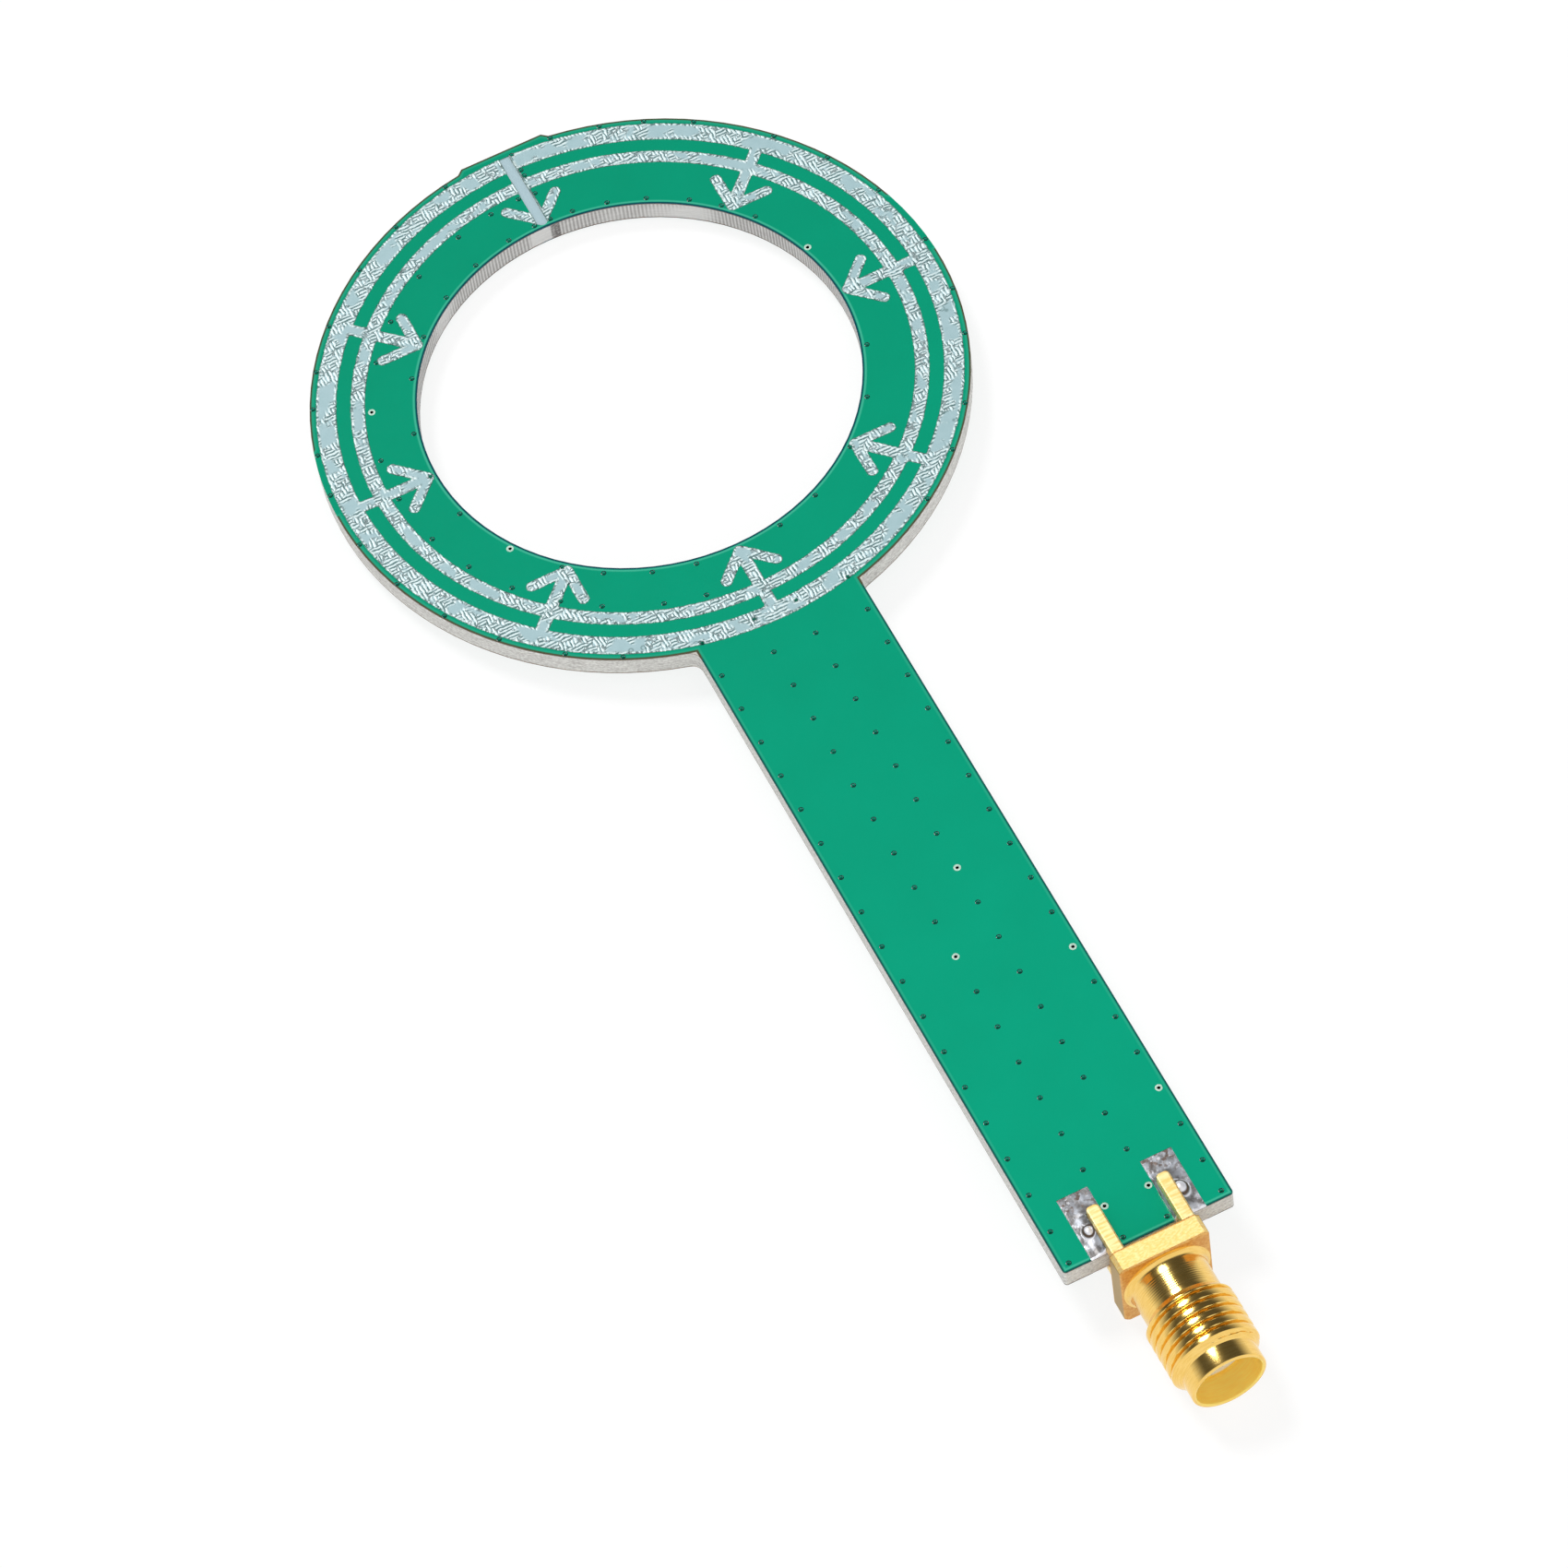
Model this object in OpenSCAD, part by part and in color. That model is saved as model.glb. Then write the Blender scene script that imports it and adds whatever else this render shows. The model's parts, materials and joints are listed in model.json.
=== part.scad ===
// Near field probe: a shielded magnetic loop etched on a circuit board, with a coaxial edge socket.
// Frame: origin at the loop's centre on the board's middle plane, +Y away from the socket, +Z up.

/* [Board] */
// Outer diameter of the ring
ring_outer_diameter = 45.1; // [40:0.1:60]
// Diameter of the loop's opening
ring_inner_diameter = 30.4; // [24:0.1:34]
// Width of the handle
handle_width = 12; // [11:0.1:16]
// Distance from the loop's centre to the handle's end
handle_reach = 75.4; // [60:0.1:120]
// Finished thickness of the board, over both masks
board_thickness = 1.6; // [1.2:0.1:2]
// Radius in the corners between ring and handle
shoulder_radius = 0.9; // [0.5:0.1:2]
// Radius of the corners at the handle's end
end_corner_radius = 0.25; // [0.2:0.05:1]
// Width of the break-off tab's stub at the ring's far end
tab_width = 6.1; // [3:0.1:10]
// Height of that stub above the ring's outline
tab_rise = 0.1; // [0.05:0.01:0.5]
// Length of the slope at each end of the tab
tab_slope = 0.55; // [0.2:0.05:1]

/* [Layers] */
// Thickness of the copper on each face
copper_thickness = 0.05; // [0.03:0.005:0.1]
// Thickness of the solder mask over the copper
mask_thickness = 0.04; // [0.02:0.005:0.06]
// Thickness of the tin in the mask's windows
tin_thickness = 0.05; // [0.03:0.005:0.08]

/* [Tinned artwork] */
// Distance from the ring's edge to the outer band
outer_band_inset = 0.43; // [0.42:0.01:1]
// Width of the outer band
outer_band_width = 1.4; // [0.5:0.1:2]
// Distance from the ring's edge to the inner band
inner_band_inset = 2.8; // [2.5:0.05:3.4]
// Width of the inner band
inner_band_width = 1; // [0.5:0.1:1.2]
// Number of arrows round the ring
arrow_count = 8; // [4:4:8]
// Width of an arrow's stem
arrow_stem_width = 0.9; // [0.6:0.05:1.2]
// Width of the strokes of an arrow's head
arrow_stroke_width = 0.8; // [0.4:0.05:1]
// Reach of an arrow's head strokes, along the stem and across it
arrow_head_reach = 1.85; // [1.2:0.05:2.4]
// Distance from the loop's opening to the point where the strokes meet
arrow_tip_inset = 0.62; // [0.6:0.01:1.2]

/* [Shield and line] */
// Width of the gap in the shield
gap_width = 0.74; // [0.4:0.02:0.8]
// Offset of the gap from the ring's middle line
gap_shift = -0.05; // [-0.06:0.01:0.05]
// Width of the signal line
line_width = 1.8; // [1.2:0.1:2]
// Clear width beside the signal line
line_clearance = 0.3; // [0.15:0.05:0.3]

/* [Vias] */
// Drilled diameter of a via
via_drill = 0.3; // [0.2:0.01:0.32]
// Thickness of the plating in a via
via_plating = 0.03; // [0.02:0.005:0.05]
// Diameter of the tinned land round a bare via
via_land = 0.5; // [0.46:0.02:0.56]
// Spacing of the vias along the handle
via_pitch = 3; // [2:0.1:5]
// Distance from the ring's edge to the row beside it
outer_row_inset = 0.22; // [0.21:0.01:0.25]
// Distance from the ring's edge to the fence row
fence_row_inset = 4.25; // [4:0.05:4.6]
// Distance from the loop's opening to the row beside it
inner_row_inset = 0.45; // [0.35:0.05:0.8]
// Distance from the handle's sides to the rows beside them
side_row_inset = 0.62; // [0.4:0.02:1]
// Distance from the handle's middle line to the fence rows
fence_offset = 1.55; // [1.5:0.01:1.58]

/* [Pads] */
// Length of the ground pads
pad_length = 4.9; // [4:0.1:8]
// Width of the ground pads
pad_width = 2.2; // [1.5:0.1:2.6]
// Length of the signal pad
signal_pad_length = 3.6; // [3:0.1:6]

/* [Socket shell] */
// Side of the square flange
flange_side = 6.3; // [6:0.05:7]
// Chamfer of the flange's corners
flange_chamfer = 0.3; // [0.1:0.05:0.6]
// Thickness of the flange
flange_thickness = 1.6; // [1:0.1:2.5]
// Distance between the board's end and the flange
flange_gap = 0.65; // [0:0.05:1]
// Distance between the centres of a pair of legs
leg_spacing = 4.94; // [4.7:0.02:5]
// Width of a leg
leg_width = 0.92; // [0.7:0.02:1]
// Length of a leg behind the flange
leg_length = 3.7; // [2.5:0.1:5]
// Radius of the corners of a leg's tip
leg_tip_radius = 0.3; // [0.1:0.05:0.34]
// Diameter of the neck behind the thread
neck_diameter = 5.3; // [5:0.05:5.6]
// Length of the neck
neck_length = 2.6; // [1:0.1:4]
// Radius of the fillet between neck and flange
neck_fillet = 0.4; // [0.1:0.05:0.5]
// Outer diameter of the thread
thread_diameter = 6.2; // [6.1:0.01:6.35]
// Length of the thread, with its end chamfers
thread_length = 4.5; // [3:0.1:8]
// Diameter of the plain mouth in front of the thread
mouth_diameter = 5.2; // [5.1:0.05:5.6]
// Length of the plain mouth
mouth_length = 1.35; // [0.8:0.05:2]
// Diameter of the socket's bore
bore_diameter = 4.6; // [4.5:0.02:4.7]
// Depth of the bore, down to the insulator
bore_depth = 1.95; // [1.5:0.05:2.5]
// Chamfer of the mouth's edges
mouth_chamfer = 0.1; // [0.05:0.01:0.14]

/* [Insulator and contact] */
// Diameter of the insulator
insulator_diameter = 4.1; // [3.8:0.05:4.3]
// Diameter of the centre contact inside the insulator
contact_diameter = 1.27; // [1.2:0.01:1.4]
// Diameter of the hole for the mating pin
contact_bore = 0.94; // [0.92:0.01:1]
// Depth of that hole
contact_bore_depth = 2.9; // [2:0.1:4]
// Width of the slots that make the contact springy
contact_slot = 0.12; // [0.08:0.01:0.14]
// Length of those slots
contact_slot_length = 2.3; // [1:0.1:2.8]
// Diameter of the solder tail
tail_diameter = 0.84; // [0.7:0.02:1]
// Length of the solder tail behind the insulator
tail_length = 3.4; // [2:0.1:4]
// Solder film between the tail and its pad
tail_lift = 0.04; // [0.02:0.01:0.1]

/* [Solder] */
// Height of the solder fillets at the legs
fillet_height = 0.55; // [0.3:0.05:0.6]
// Width of the solder fillets on the outer sides of the legs
fillet_width = 0.5; // [0.3:0.05:0.6]
// Radius of the solder bead beside each leg
bead_radius = 0.42; // [0.3:0.02:0.5]
// Thickness of the solder puddle round a leg
puddle_height = 0.1; // [0.05:0.01:0.2]
// Distance from the board's end to the start of the solder
puddle_start = 0.25; // [0.1:0.05:1]
// Distance from a pad's edge to the solder on it
puddle_margin = 0.06; // [0.03:0.01:0.12]

/* [Hidden] */
$fn = 96;
cut_over = 1;

// Radii of the ring
ring_radius = ring_outer_diameter / 2;
loop_radius = ring_inner_diameter / 2;
shoulder_lap = 0.1;

// Heights of the layers above the middle plane
mask_top = board_thickness / 2;
copper_top = mask_top - mask_thickness;
laminate_top = copper_top - copper_thickness;
tin_top = copper_top + tin_thickness;
// Overlap of the mask's sheet and the mask between the copper areas
mask_lap = mask_thickness / 2;

// Sideways shifts of the arrows at each eighth of a turn: the slanted ones were set by hand
arrow_shifts = [0, -1.15, 0, 1.05, 0, 0.55, 0, -0.85];

// Vias: the rows on the ring were set by hand, so their angles are uneven; degrees from +X
via_bore = via_drill - 2 * via_plating;
outer_row_radius = ring_radius - outer_row_inset;
fence_row_radius = ring_radius - fence_row_inset;
inner_row_radius = loop_radius + inner_row_inset;
outer_angles = [3, 17, 29, 40, 55, 64, 72, 81, 102, 114, 125, 138, 148, 156, 166, 175, 187, 198, 209, 220,
                232, 242, 305, 316, 326, 341, 351];
inner_angles = [34, 43.5, 52, 63, 73, 82, 100, 111, 123, 136, 149, 166, 180, 194, 225.5, 236, 248, 259,
                282, 294, 310.5, 326, 342];
fence_angles = [99, 108, 121, 134, 145, 171, 182, 195, 206, 217, 228, 237, 250, 259];
bare_inner_angles = [17, 211];
bare_fence_angles = [158];

// Vias along the handle: four rows, and one row across the end
side_row_x = handle_width / 2 - side_row_inset;
handle_rows = [-side_row_x, -fence_offset, fence_offset, side_row_x];
first_via_margin = 1.25;
first_via_y = first_via_margin - ring_radius;
last_via_margin = 3;
handle_via_count = 1 + floor((handle_reach + first_via_y - last_via_margin) / via_pitch);
end_row_margin = 0.55;
// Bare vias of the handle: row, and count from the ring
bare_handle = [[2, 8], [1, 10], [3, 11], [3, 15], [1, 17], [2, 17]];

// The line runs midway between the ring's fence row and the first vias of the handle's fence
line_radius = (fence_row_radius + norm([fence_offset, first_via_y])) / 2;

// Vias beside the gap: two of them tie the line's end to the far half of the shield on the +X side
gap_left = gap_shift - gap_width / 2;
gap_right = gap_shift + gap_width / 2;
gap_via_clearance = 0.08;
gap_via_margin = gap_via_clearance + via_drill / 2;
tie_radius = ring_radius - (outer_band_inset + outer_band_width + inner_band_inset) / 2;
tie_step = 0.27;
outer_tie_step = 0.3;
fence_tie_step = 0.1;
gap_left_radii = [fence_row_radius, inner_row_radius];
gap_right_radii = [outer_row_radius - outer_tie_step, tie_radius + tie_step, tie_radius - tie_step,
                   fence_row_radius - fence_tie_step, inner_row_radius];

function polar(radius, angles) = [for (a = angles) radius * [cos(a), sin(a)]];
function handle_via(row, step) = [handle_rows[row], first_via_y - step * via_pitch];
function is_bare(row, step) = len([for (b = bare_handle) if (b == [row, step]) b]) > 0;

bare_vias = concat(
    polar(inner_row_radius, bare_inner_angles),
    polar(fence_row_radius, bare_fence_angles),
    [for (b = bare_handle) if (b[1] < handle_via_count) handle_via(b[0], b[1])]);
covered_vias = concat(
    polar(outer_row_radius, outer_angles),
    polar(inner_row_radius, inner_angles),
    polar(fence_row_radius, fence_angles),
    [for (r = gap_left_radii) [gap_left - gap_via_margin, r]],
    [for (r = gap_right_radii) [gap_right + gap_via_margin, r]],
    [for (row = [0:3], step = [0:handle_via_count - 1]) if (!is_bare(row, step)) handle_via(row, step)],
    [for (x = handle_rows) [x, end_row_margin - handle_reach]]);

// Places of the pads and the socket
leg_inner_x = (leg_spacing - leg_width) / 2;
pad_margin = 0.15;
pad_inner_x = leg_inner_x - pad_margin;
flange_back_y = -handle_reach - flange_gap;
flange_front_y = flange_back_y - flange_thickness;
axis_z = -(tin_top + tail_lift + tail_diameter / 2);
leg_height = flange_side / 2 + axis_z - tin_top;
leg_tip_y = flange_back_y + leg_length;

// Lengths along the socket's barrel, from the flange's front face
thread_end = neck_length + thread_length;
mouth_end = thread_end + mouth_length;
bore_end = mouth_end - bore_depth;
thread_runout = (thread_diameter - neck_diameter) / 2;
thread_lead = (thread_diameter - mouth_diameter) / 2;
fillet_step = 15;
insulator_length = flange_thickness + bore_end;

// Colours
laminate_color = [0.80, 0.79, 0.74];
copper_color = [0.72, 0.45, 0.20];
mask_color = [0.06, 0.61, 0.47];
tin_color = [0.72, 0.80, 0.83];
pad_color = [0.62, 0.60, 0.64];
gold_color = [0.86, 0.68, 0.30];
insulator_color = [0.93, 0.92, 0.88];
solder_color = [0.70, 0.69, 0.72];

// Outlines

// Handle with rounded corners at its end
module handle_outline() {
    r = end_corner_radius;
    inner_x = handle_width / 2 - r;
    translate([-handle_width / 2, r - handle_reach]) square([handle_width, handle_reach - r]);
    translate([-inner_x, -handle_reach]) square([2 * inner_x, handle_reach]);
    for (side = [-1, 1]) translate([side * inner_x, r - handle_reach]) circle(r = r);
}

// Stub of the break-off tab, with sloped ends that run out on the ring
module tab_outline() {
    half = tab_width / 2;
    foot = half + tab_slope;
    foot_y = sqrt(ring_radius * ring_radius - foot * foot) - shoulder_lap;
    top_y = ring_radius + tab_rise;
    polygon([[-foot, 0], [foot, 0], [foot, foot_y], [half, top_y], [-half, top_y], [-foot, foot_y]]);
}

module board_outline() {
    difference() {
        union() {
            circle(r = ring_radius);
            tab_outline();
            handle_outline();
        }
        circle(r = loop_radius);
    }
}

// Rounded corner between ring and handle, lapped a little over both
module shoulder(side) {
    x = handle_width / 2 + shoulder_radius;
    y = sqrt(pow(ring_radius + shoulder_radius, 2) - x * x);
    inner_width = handle_width - 2 * shoulder_lap;
    difference() {
        polygon([[0, 0], [side * x, -y], [0, -y]]);
        translate([side * x, -y]) circle(r = shoulder_radius);
        circle(r = ring_radius - shoulder_lap);
        translate([-inner_width / 2, -handle_reach]) square([inner_width, handle_reach]);
    }
}

module dots(places, diameter) {
    for (p = places) translate(p) circle(d = diameter);
}

module via_dots(diameter) {
    dots(covered_vias, diameter);
    dots(bare_vias, diameter);
}

module band(inset, width) {
    difference() {
        circle(r = ring_radius - inset);
        circle(r = ring_radius - inset - width);
    }
}

// Straight stroke with round ends
module stroke(from, to, width) {
    span = to - from;
    translate(from) circle(d = width);
    translate(to) circle(d = width);
    translate(from) rotate(atan2(span[1], span[0])) translate([0, -width / 2]) square([norm(span), width]);
}

// Arrow along +X whose head points at the ring's centre
module arrow() {
    tip = loop_radius + arrow_tip_inset;
    stem_end = ring_radius - outer_band_inset - outer_band_width / 2;
    translate([tip, -arrow_stem_width / 2]) square([stem_end - tip, arrow_stem_width]);
    for (side = [-1, 1])
        stroke([tip, 0], [tip + arrow_head_reach, side * arrow_head_reach], arrow_stroke_width);
}

// Windows in the top mask over the ring
module artwork() {
    band(outer_band_inset, outer_band_width);
    band(inner_band_inset, inner_band_width);
    for (i = [0:arrow_count - 1]) rotate(i * 360 / arrow_count)
        translate([0, arrow_shifts[i * len(arrow_shifts) / arrow_count]]) arrow();
}

module gap_strip() {
    translate([gap_left, 0]) square([gap_width, ring_radius + tab_rise + cut_over]);
}

module ground_pad(side) {
    x = side > 0 ? pad_inner_x : -pad_inner_x - pad_width;
    translate([x, -handle_reach]) square([pad_width, pad_length]);
}

module signal_pad() {
    translate([-line_width / 2, -handle_reach]) square([line_width, signal_pad_length]);
}

// Path of the signal line: up the handle, then round the -X half of the ring to the given X
module line_path(width, end_x) {
    translate([-width / 2, -handle_reach]) square([width, handle_reach - line_radius]);
    intersection() {
        difference() {
            circle(r = line_radius + width / 2);
            circle(r = line_radius - width / 2);
        }
        union() {
            translate([-ring_radius, -ring_radius]) square([ring_radius + width / 2, ring_radius]);
            translate([-ring_radius, 0]) square([ring_radius + end_x, ring_radius]);
        }
    }
}

module top_copper_outline() {
    difference() {
        board_outline();
        gap_strip();
    }
}

module bottom_copper_outline() {
    difference() {
        board_outline();
        gap_strip();
        line_path(line_width + 2 * line_clearance, gap_right);
    }
    line_path(line_width, gap_right + line_width / 2);
}

// Layers

module layer(from, thickness) {
    translate([0, 0, from]) linear_extrude(thickness) children();
}

// Layer of the whole board: the given outline with both rounded corners
module board_layer(from, thickness) {
    layer(from, thickness) children();
    for (side = [-1, 1]) layer(from, thickness) shoulder(side);
}

module laminate() {
    color(laminate_color) board_layer(-laminate_top, 2 * laminate_top) difference() {
        board_outline();
        via_dots(via_drill);
    }
}

module top_copper() {
    color(copper_color) board_layer(laminate_top, copper_thickness) difference() {
        top_copper_outline();
        via_dots(via_drill);
    }
}

module bottom_copper() {
    color(copper_color) board_layer(-copper_top, copper_thickness) difference() {
        bottom_copper_outline();
        via_dots(via_drill);
    }
}

module via_barrels() {
    color(copper_color) layer(-copper_top, 2 * copper_top) difference() {
        via_dots(via_drill);
        via_dots(via_bore);
    }
}

module top_mask() {
    color(mask_color) {
        board_layer(copper_top, mask_thickness) difference() {
            board_outline();
            artwork();
            for (side = [-1, 1]) ground_pad(side);
            via_dots(via_bore);
            dots(bare_vias, via_land);
        }
        layer(laminate_top, copper_thickness + mask_lap) difference() {
            intersection() {
                board_outline();
                gap_strip();
            }
            artwork();
        }
    }
}

module bottom_mask() {
    color(mask_color) {
        board_layer(-mask_top, mask_thickness) difference() {
            board_outline();
            for (side = [-1, 1]) ground_pad(side);
            signal_pad();
            via_dots(via_bore);
        }
        layer(-copper_top - mask_lap, copper_thickness + mask_lap) difference() {
            board_outline();
            bottom_copper_outline();
        }
    }
}

module tinned_loop() {
    color(tin_color) layer(copper_top, tin_thickness) difference() {
        artwork();
        gap_strip();
        via_dots(via_bore);
    }
}

module tinned_via_lands() {
    color(tin_color) layer(copper_top, tin_thickness) difference() {
        dots(bare_vias, via_land);
        dots(bare_vias, via_bore);
    }
}

module tinned_pad(side, from) {
    color(pad_color) layer(from, tin_thickness) ground_pad(side);
}

module tinned_pad_top_left() { tinned_pad(-1, copper_top); }
module tinned_pad_top_right() { tinned_pad(1, copper_top); }
module tinned_pad_bottom_left() { tinned_pad(-1, -tin_top); }
module tinned_pad_bottom_right() { tinned_pad(1, -tin_top); }

module tinned_signal_pad() {
    color(pad_color) layer(-tin_top, tin_thickness) signal_pad();
}

// Socket

// Turns a profile drawn as radius and length into a solid round the socket's axis, towards -Y
module on_axis() {
    translate([0, flange_front_y, axis_z]) rotate([90, 0, 0]) children();
}

module flange() {
    turned = sqrt(2) * (flange_side - flange_chamfer);
    translate([0, 0, -flange_thickness]) linear_extrude(flange_thickness) intersection() {
        square(flange_side, center = true);
        rotate(45) square(turned, center = true);
    }
}

module barrel() {
    root = neck_diameter / 2 + neck_fillet;
    fillet = [for (a = [0:fillet_step:90]) [root - neck_fillet * sin(a), neck_fillet * (1 - cos(a))]];
    rotate_extrude() polygon(concat([[0, 0]], fillet, [
        [neck_diameter / 2, neck_length],
        [thread_diameter / 2, neck_length + thread_runout],
        [thread_diameter / 2, thread_end - thread_lead],
        [mouth_diameter / 2, thread_end],
        [mouth_diameter / 2, mouth_end - mouth_chamfer],
        [mouth_diameter / 2 - mouth_chamfer, mouth_end],
        [0, mouth_end]]));
}

// Hollow of the shell: mouth, bore and the insulator's seat
module shell_hollow() {
    rotate_extrude() polygon([
        [0, -flange_thickness - cut_over],
        [insulator_diameter / 2, -flange_thickness - cut_over],
        [insulator_diameter / 2, bore_end],
        [bore_diameter / 2, bore_end],
        [bore_diameter / 2, mouth_end - mouth_chamfer],
        [bore_diameter / 2 + mouth_chamfer, mouth_end],
        [bore_diameter / 2 + mouth_chamfer, mouth_end + cut_over],
        [0, mouth_end + cut_over]]);
}

module leg_outline(side) {
    r = leg_tip_radius;
    translate([side * leg_spacing / 2, 0]) {
        translate([-leg_width / 2, flange_back_y]) square([leg_width, leg_length - r]);
        translate([r - leg_width / 2, flange_back_y]) square([leg_width - 2 * r, leg_length]);
        for (s = [-1, 1]) translate([s * (leg_width / 2 - r), leg_tip_y - r]) circle(r = r);
    }
}

module legs() {
    for (side = [-1, 1], from = [tin_top, -tin_top - leg_height])
        layer(from, leg_height) leg_outline(side);
}

module connector_shell() {
    color(gold_color) {
        on_axis() difference() {
            union() {
                flange();
                barrel();
            }
            shell_hollow();
        }
        legs();
    }
}

module connector_insulator() {
    color(insulator_color) on_axis() translate([0, 0, -flange_thickness]) difference() {
        cylinder(d = insulator_diameter, h = insulator_length);
        translate([0, 0, -cut_over]) cylinder(d = contact_diameter, h = insulator_length + 2 * cut_over);
    }
}

// Thin end of the centre contact, behind the insulator
module tail() {
    translate([0, 0, -flange_thickness - tail_length]) cylinder(d = tail_diameter, h = tail_length);
}

module centre_contact() {
    color(gold_color) on_axis() difference() {
        union() {
            translate([0, 0, -flange_thickness]) cylinder(d = contact_diameter, h = insulator_length);
            tail();
        }
        translate([0, 0, bore_end - contact_bore_depth])
            cylinder(d = contact_bore, h = contact_bore_depth + cut_over);
        for (turn = [45, 135]) rotate(turn)
            translate([-contact_diameter, -contact_slot / 2, bore_end - contact_slot_length])
                cube([2 * contact_diameter, contact_slot, contact_slot_length + cut_over]);
    }
}

// Solder

// Prism along Y whose section is drawn in X and Z, standing on the upper tin
module along_y(from, to) {
    translate([0, to, tin_top]) rotate([90, 0, 0]) linear_extrude(to - from) children();
}

// Solder at the upper leg on the +X side: a flat puddle, a fillet on the outer side and a bead
module leg_solder() {
    inner_x = pad_inner_x + puddle_margin;
    outer_x = (leg_spacing + leg_width) / 2;
    puddle_width = outer_x + fillet_width - inner_x;
    start_y = puddle_start - handle_reach;
    difference() {
        union() {
            layer(tin_top, puddle_height) {
                translate([inner_x, start_y]) square([puddle_width, leg_tip_y - start_y]);
                translate([inner_x + puddle_width / 2, leg_tip_y]) circle(d = puddle_width);
            }
            along_y(start_y, leg_tip_y - leg_tip_radius)
                polygon([[outer_x, 0], [outer_x + fillet_width, 0], [outer_x, fillet_height]]);
            translate([outer_x + bead_radius / 2, (start_y + leg_tip_y) / 2, tin_top]) difference() {
                sphere(r = bead_radius);
                translate([0, 0, -bead_radius]) cube(2 * bead_radius, center = true);
            }
        }
        layer(tin_top, leg_height) leg_outline(1);
    }
}

module solder_top_right() { color(solder_color) leg_solder(); }
module solder_top_left() { color(solder_color) mirror([1, 0, 0]) leg_solder(); }
module solder_bottom_right() { color(solder_color) mirror([0, 0, 1]) leg_solder(); }
module solder_bottom_left() { color(solder_color) mirror([0, 0, 1]) mirror([1, 0, 0]) leg_solder(); }

// Solder on both sides of the centre contact's tail and over its end
module solder_signal() {
    foot = line_width / 2 - puddle_margin;
    rise = tail_lift + tail_diameter / 2;
    shoulder_x = tail_diameter / 3;
    tail_end_y = flange_back_y + tail_length;
    color(solder_color) difference() {
        mirror([0, 0, 1]) along_y(puddle_start - handle_reach, tail_end_y + puddle_start)
            polygon([[-foot, 0], [foot, 0], [shoulder_x, rise], [-shoulder_x, rise]]);
        on_axis() tail();
    }
}

laminate();
top_copper();
bottom_copper();
via_barrels();
top_mask();
bottom_mask();
tinned_loop();
tinned_via_lands();
tinned_pad_top_left();
tinned_pad_top_right();
tinned_pad_bottom_left();
tinned_pad_bottom_right();
tinned_signal_pad();
connector_shell();
connector_insulator();
centre_contact();
solder_top_left();
solder_top_right();
solder_bottom_left();
solder_bottom_right();
solder_signal();
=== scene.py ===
"""Dresses the near field probe: a shielded loop on a circuit board with a coaxial edge socket.

Sizes are in millimetres in the part's own frame, and meshes are written in metres.
"""

import json
import logging
import math
from collections.abc import Mapping, Sequence
from dataclasses import dataclass
from enum import Enum, IntEnum
from typing import Any

import bmesh
import bpy
import numpy as np
from mathutils import Matrix, Vector, noise


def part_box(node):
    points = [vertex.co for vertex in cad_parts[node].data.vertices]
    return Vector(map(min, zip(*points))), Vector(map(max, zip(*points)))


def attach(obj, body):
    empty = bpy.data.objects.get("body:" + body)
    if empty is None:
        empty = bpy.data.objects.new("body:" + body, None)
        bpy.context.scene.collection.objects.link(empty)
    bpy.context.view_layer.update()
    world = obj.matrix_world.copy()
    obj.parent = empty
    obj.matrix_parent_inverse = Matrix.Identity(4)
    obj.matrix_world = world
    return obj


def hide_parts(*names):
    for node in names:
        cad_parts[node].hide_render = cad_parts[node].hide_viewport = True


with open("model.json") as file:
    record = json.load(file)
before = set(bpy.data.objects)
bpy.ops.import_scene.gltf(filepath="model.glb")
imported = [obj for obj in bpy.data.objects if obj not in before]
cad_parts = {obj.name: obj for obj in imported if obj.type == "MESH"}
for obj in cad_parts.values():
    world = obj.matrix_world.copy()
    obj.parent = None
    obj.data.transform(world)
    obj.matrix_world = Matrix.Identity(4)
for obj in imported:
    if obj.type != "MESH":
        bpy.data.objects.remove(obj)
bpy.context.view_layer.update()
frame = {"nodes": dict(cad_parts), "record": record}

LOG = logging.getLogger("probe")
BODY = "root"
MM = 0.001
PER_METRE = 1000.0
TURN = 2 * math.pi
QUARTER = math.pi / 2
RESIN_IOR = 1.5
WELD_REACH = 0.001
CUT_MARGIN = 0.03
Colour = tuple[float, float, float, float]
Point = tuple[float, float, float]
Pair = tuple[float, float]


class Side(Enum):
    """Side of the board's middle line, as the sign of X."""

    LEFT = -1
    RIGHT = 1


class Face(Enum):
    """Face of the board, as the sign of Z."""

    TOP = 1
    BOTTOM = -1


class Slot(Enum):
    """Material slots of the part's record that the scene's own pieces take."""

    MASK = "solder_mask"
    TIN = "tin"
    GOLD = "gold_plate"
    SOLDER = "solder"


class Lip(IntEnum):
    """Finishes of a via's lip of mask, by their number on its mesh."""

    RIM = 0
    SLEEVE = 1


class Gold(IntEnum):
    """Finishes of the socket's shell, by their number on its mesh."""

    SATIN = 0
    BRUSHED = 1
    POLISHED = 2
    BORED = 3
    # Painted shade on the flange's front face and rounded edges.
    FACED = 4


def display(red: int, green: int, blue: int) -> Colour:
    """Turns an 8-bit display colour into the linear colour that shaders use.

    Args:
        red: Red as shown on a display, 0 to 255.
        green: Green, likewise.
        blue: Blue, likewise.

    Returns:
        The linear colour, with full alpha.
    """
    shares = (level / 255 for level in (red, green, blue))
    linear = [s / 12.92 if s <= 0.04045 else ((s + 0.055) / 1.055) ** 2.4 for s in shares]
    return (linear[0], linear[1], linear[2], 1.0)


def moved(start: float, band: Pair) -> Pair:
    """Band counted from a start."""
    return (start + band[0], start + band[1])


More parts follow.
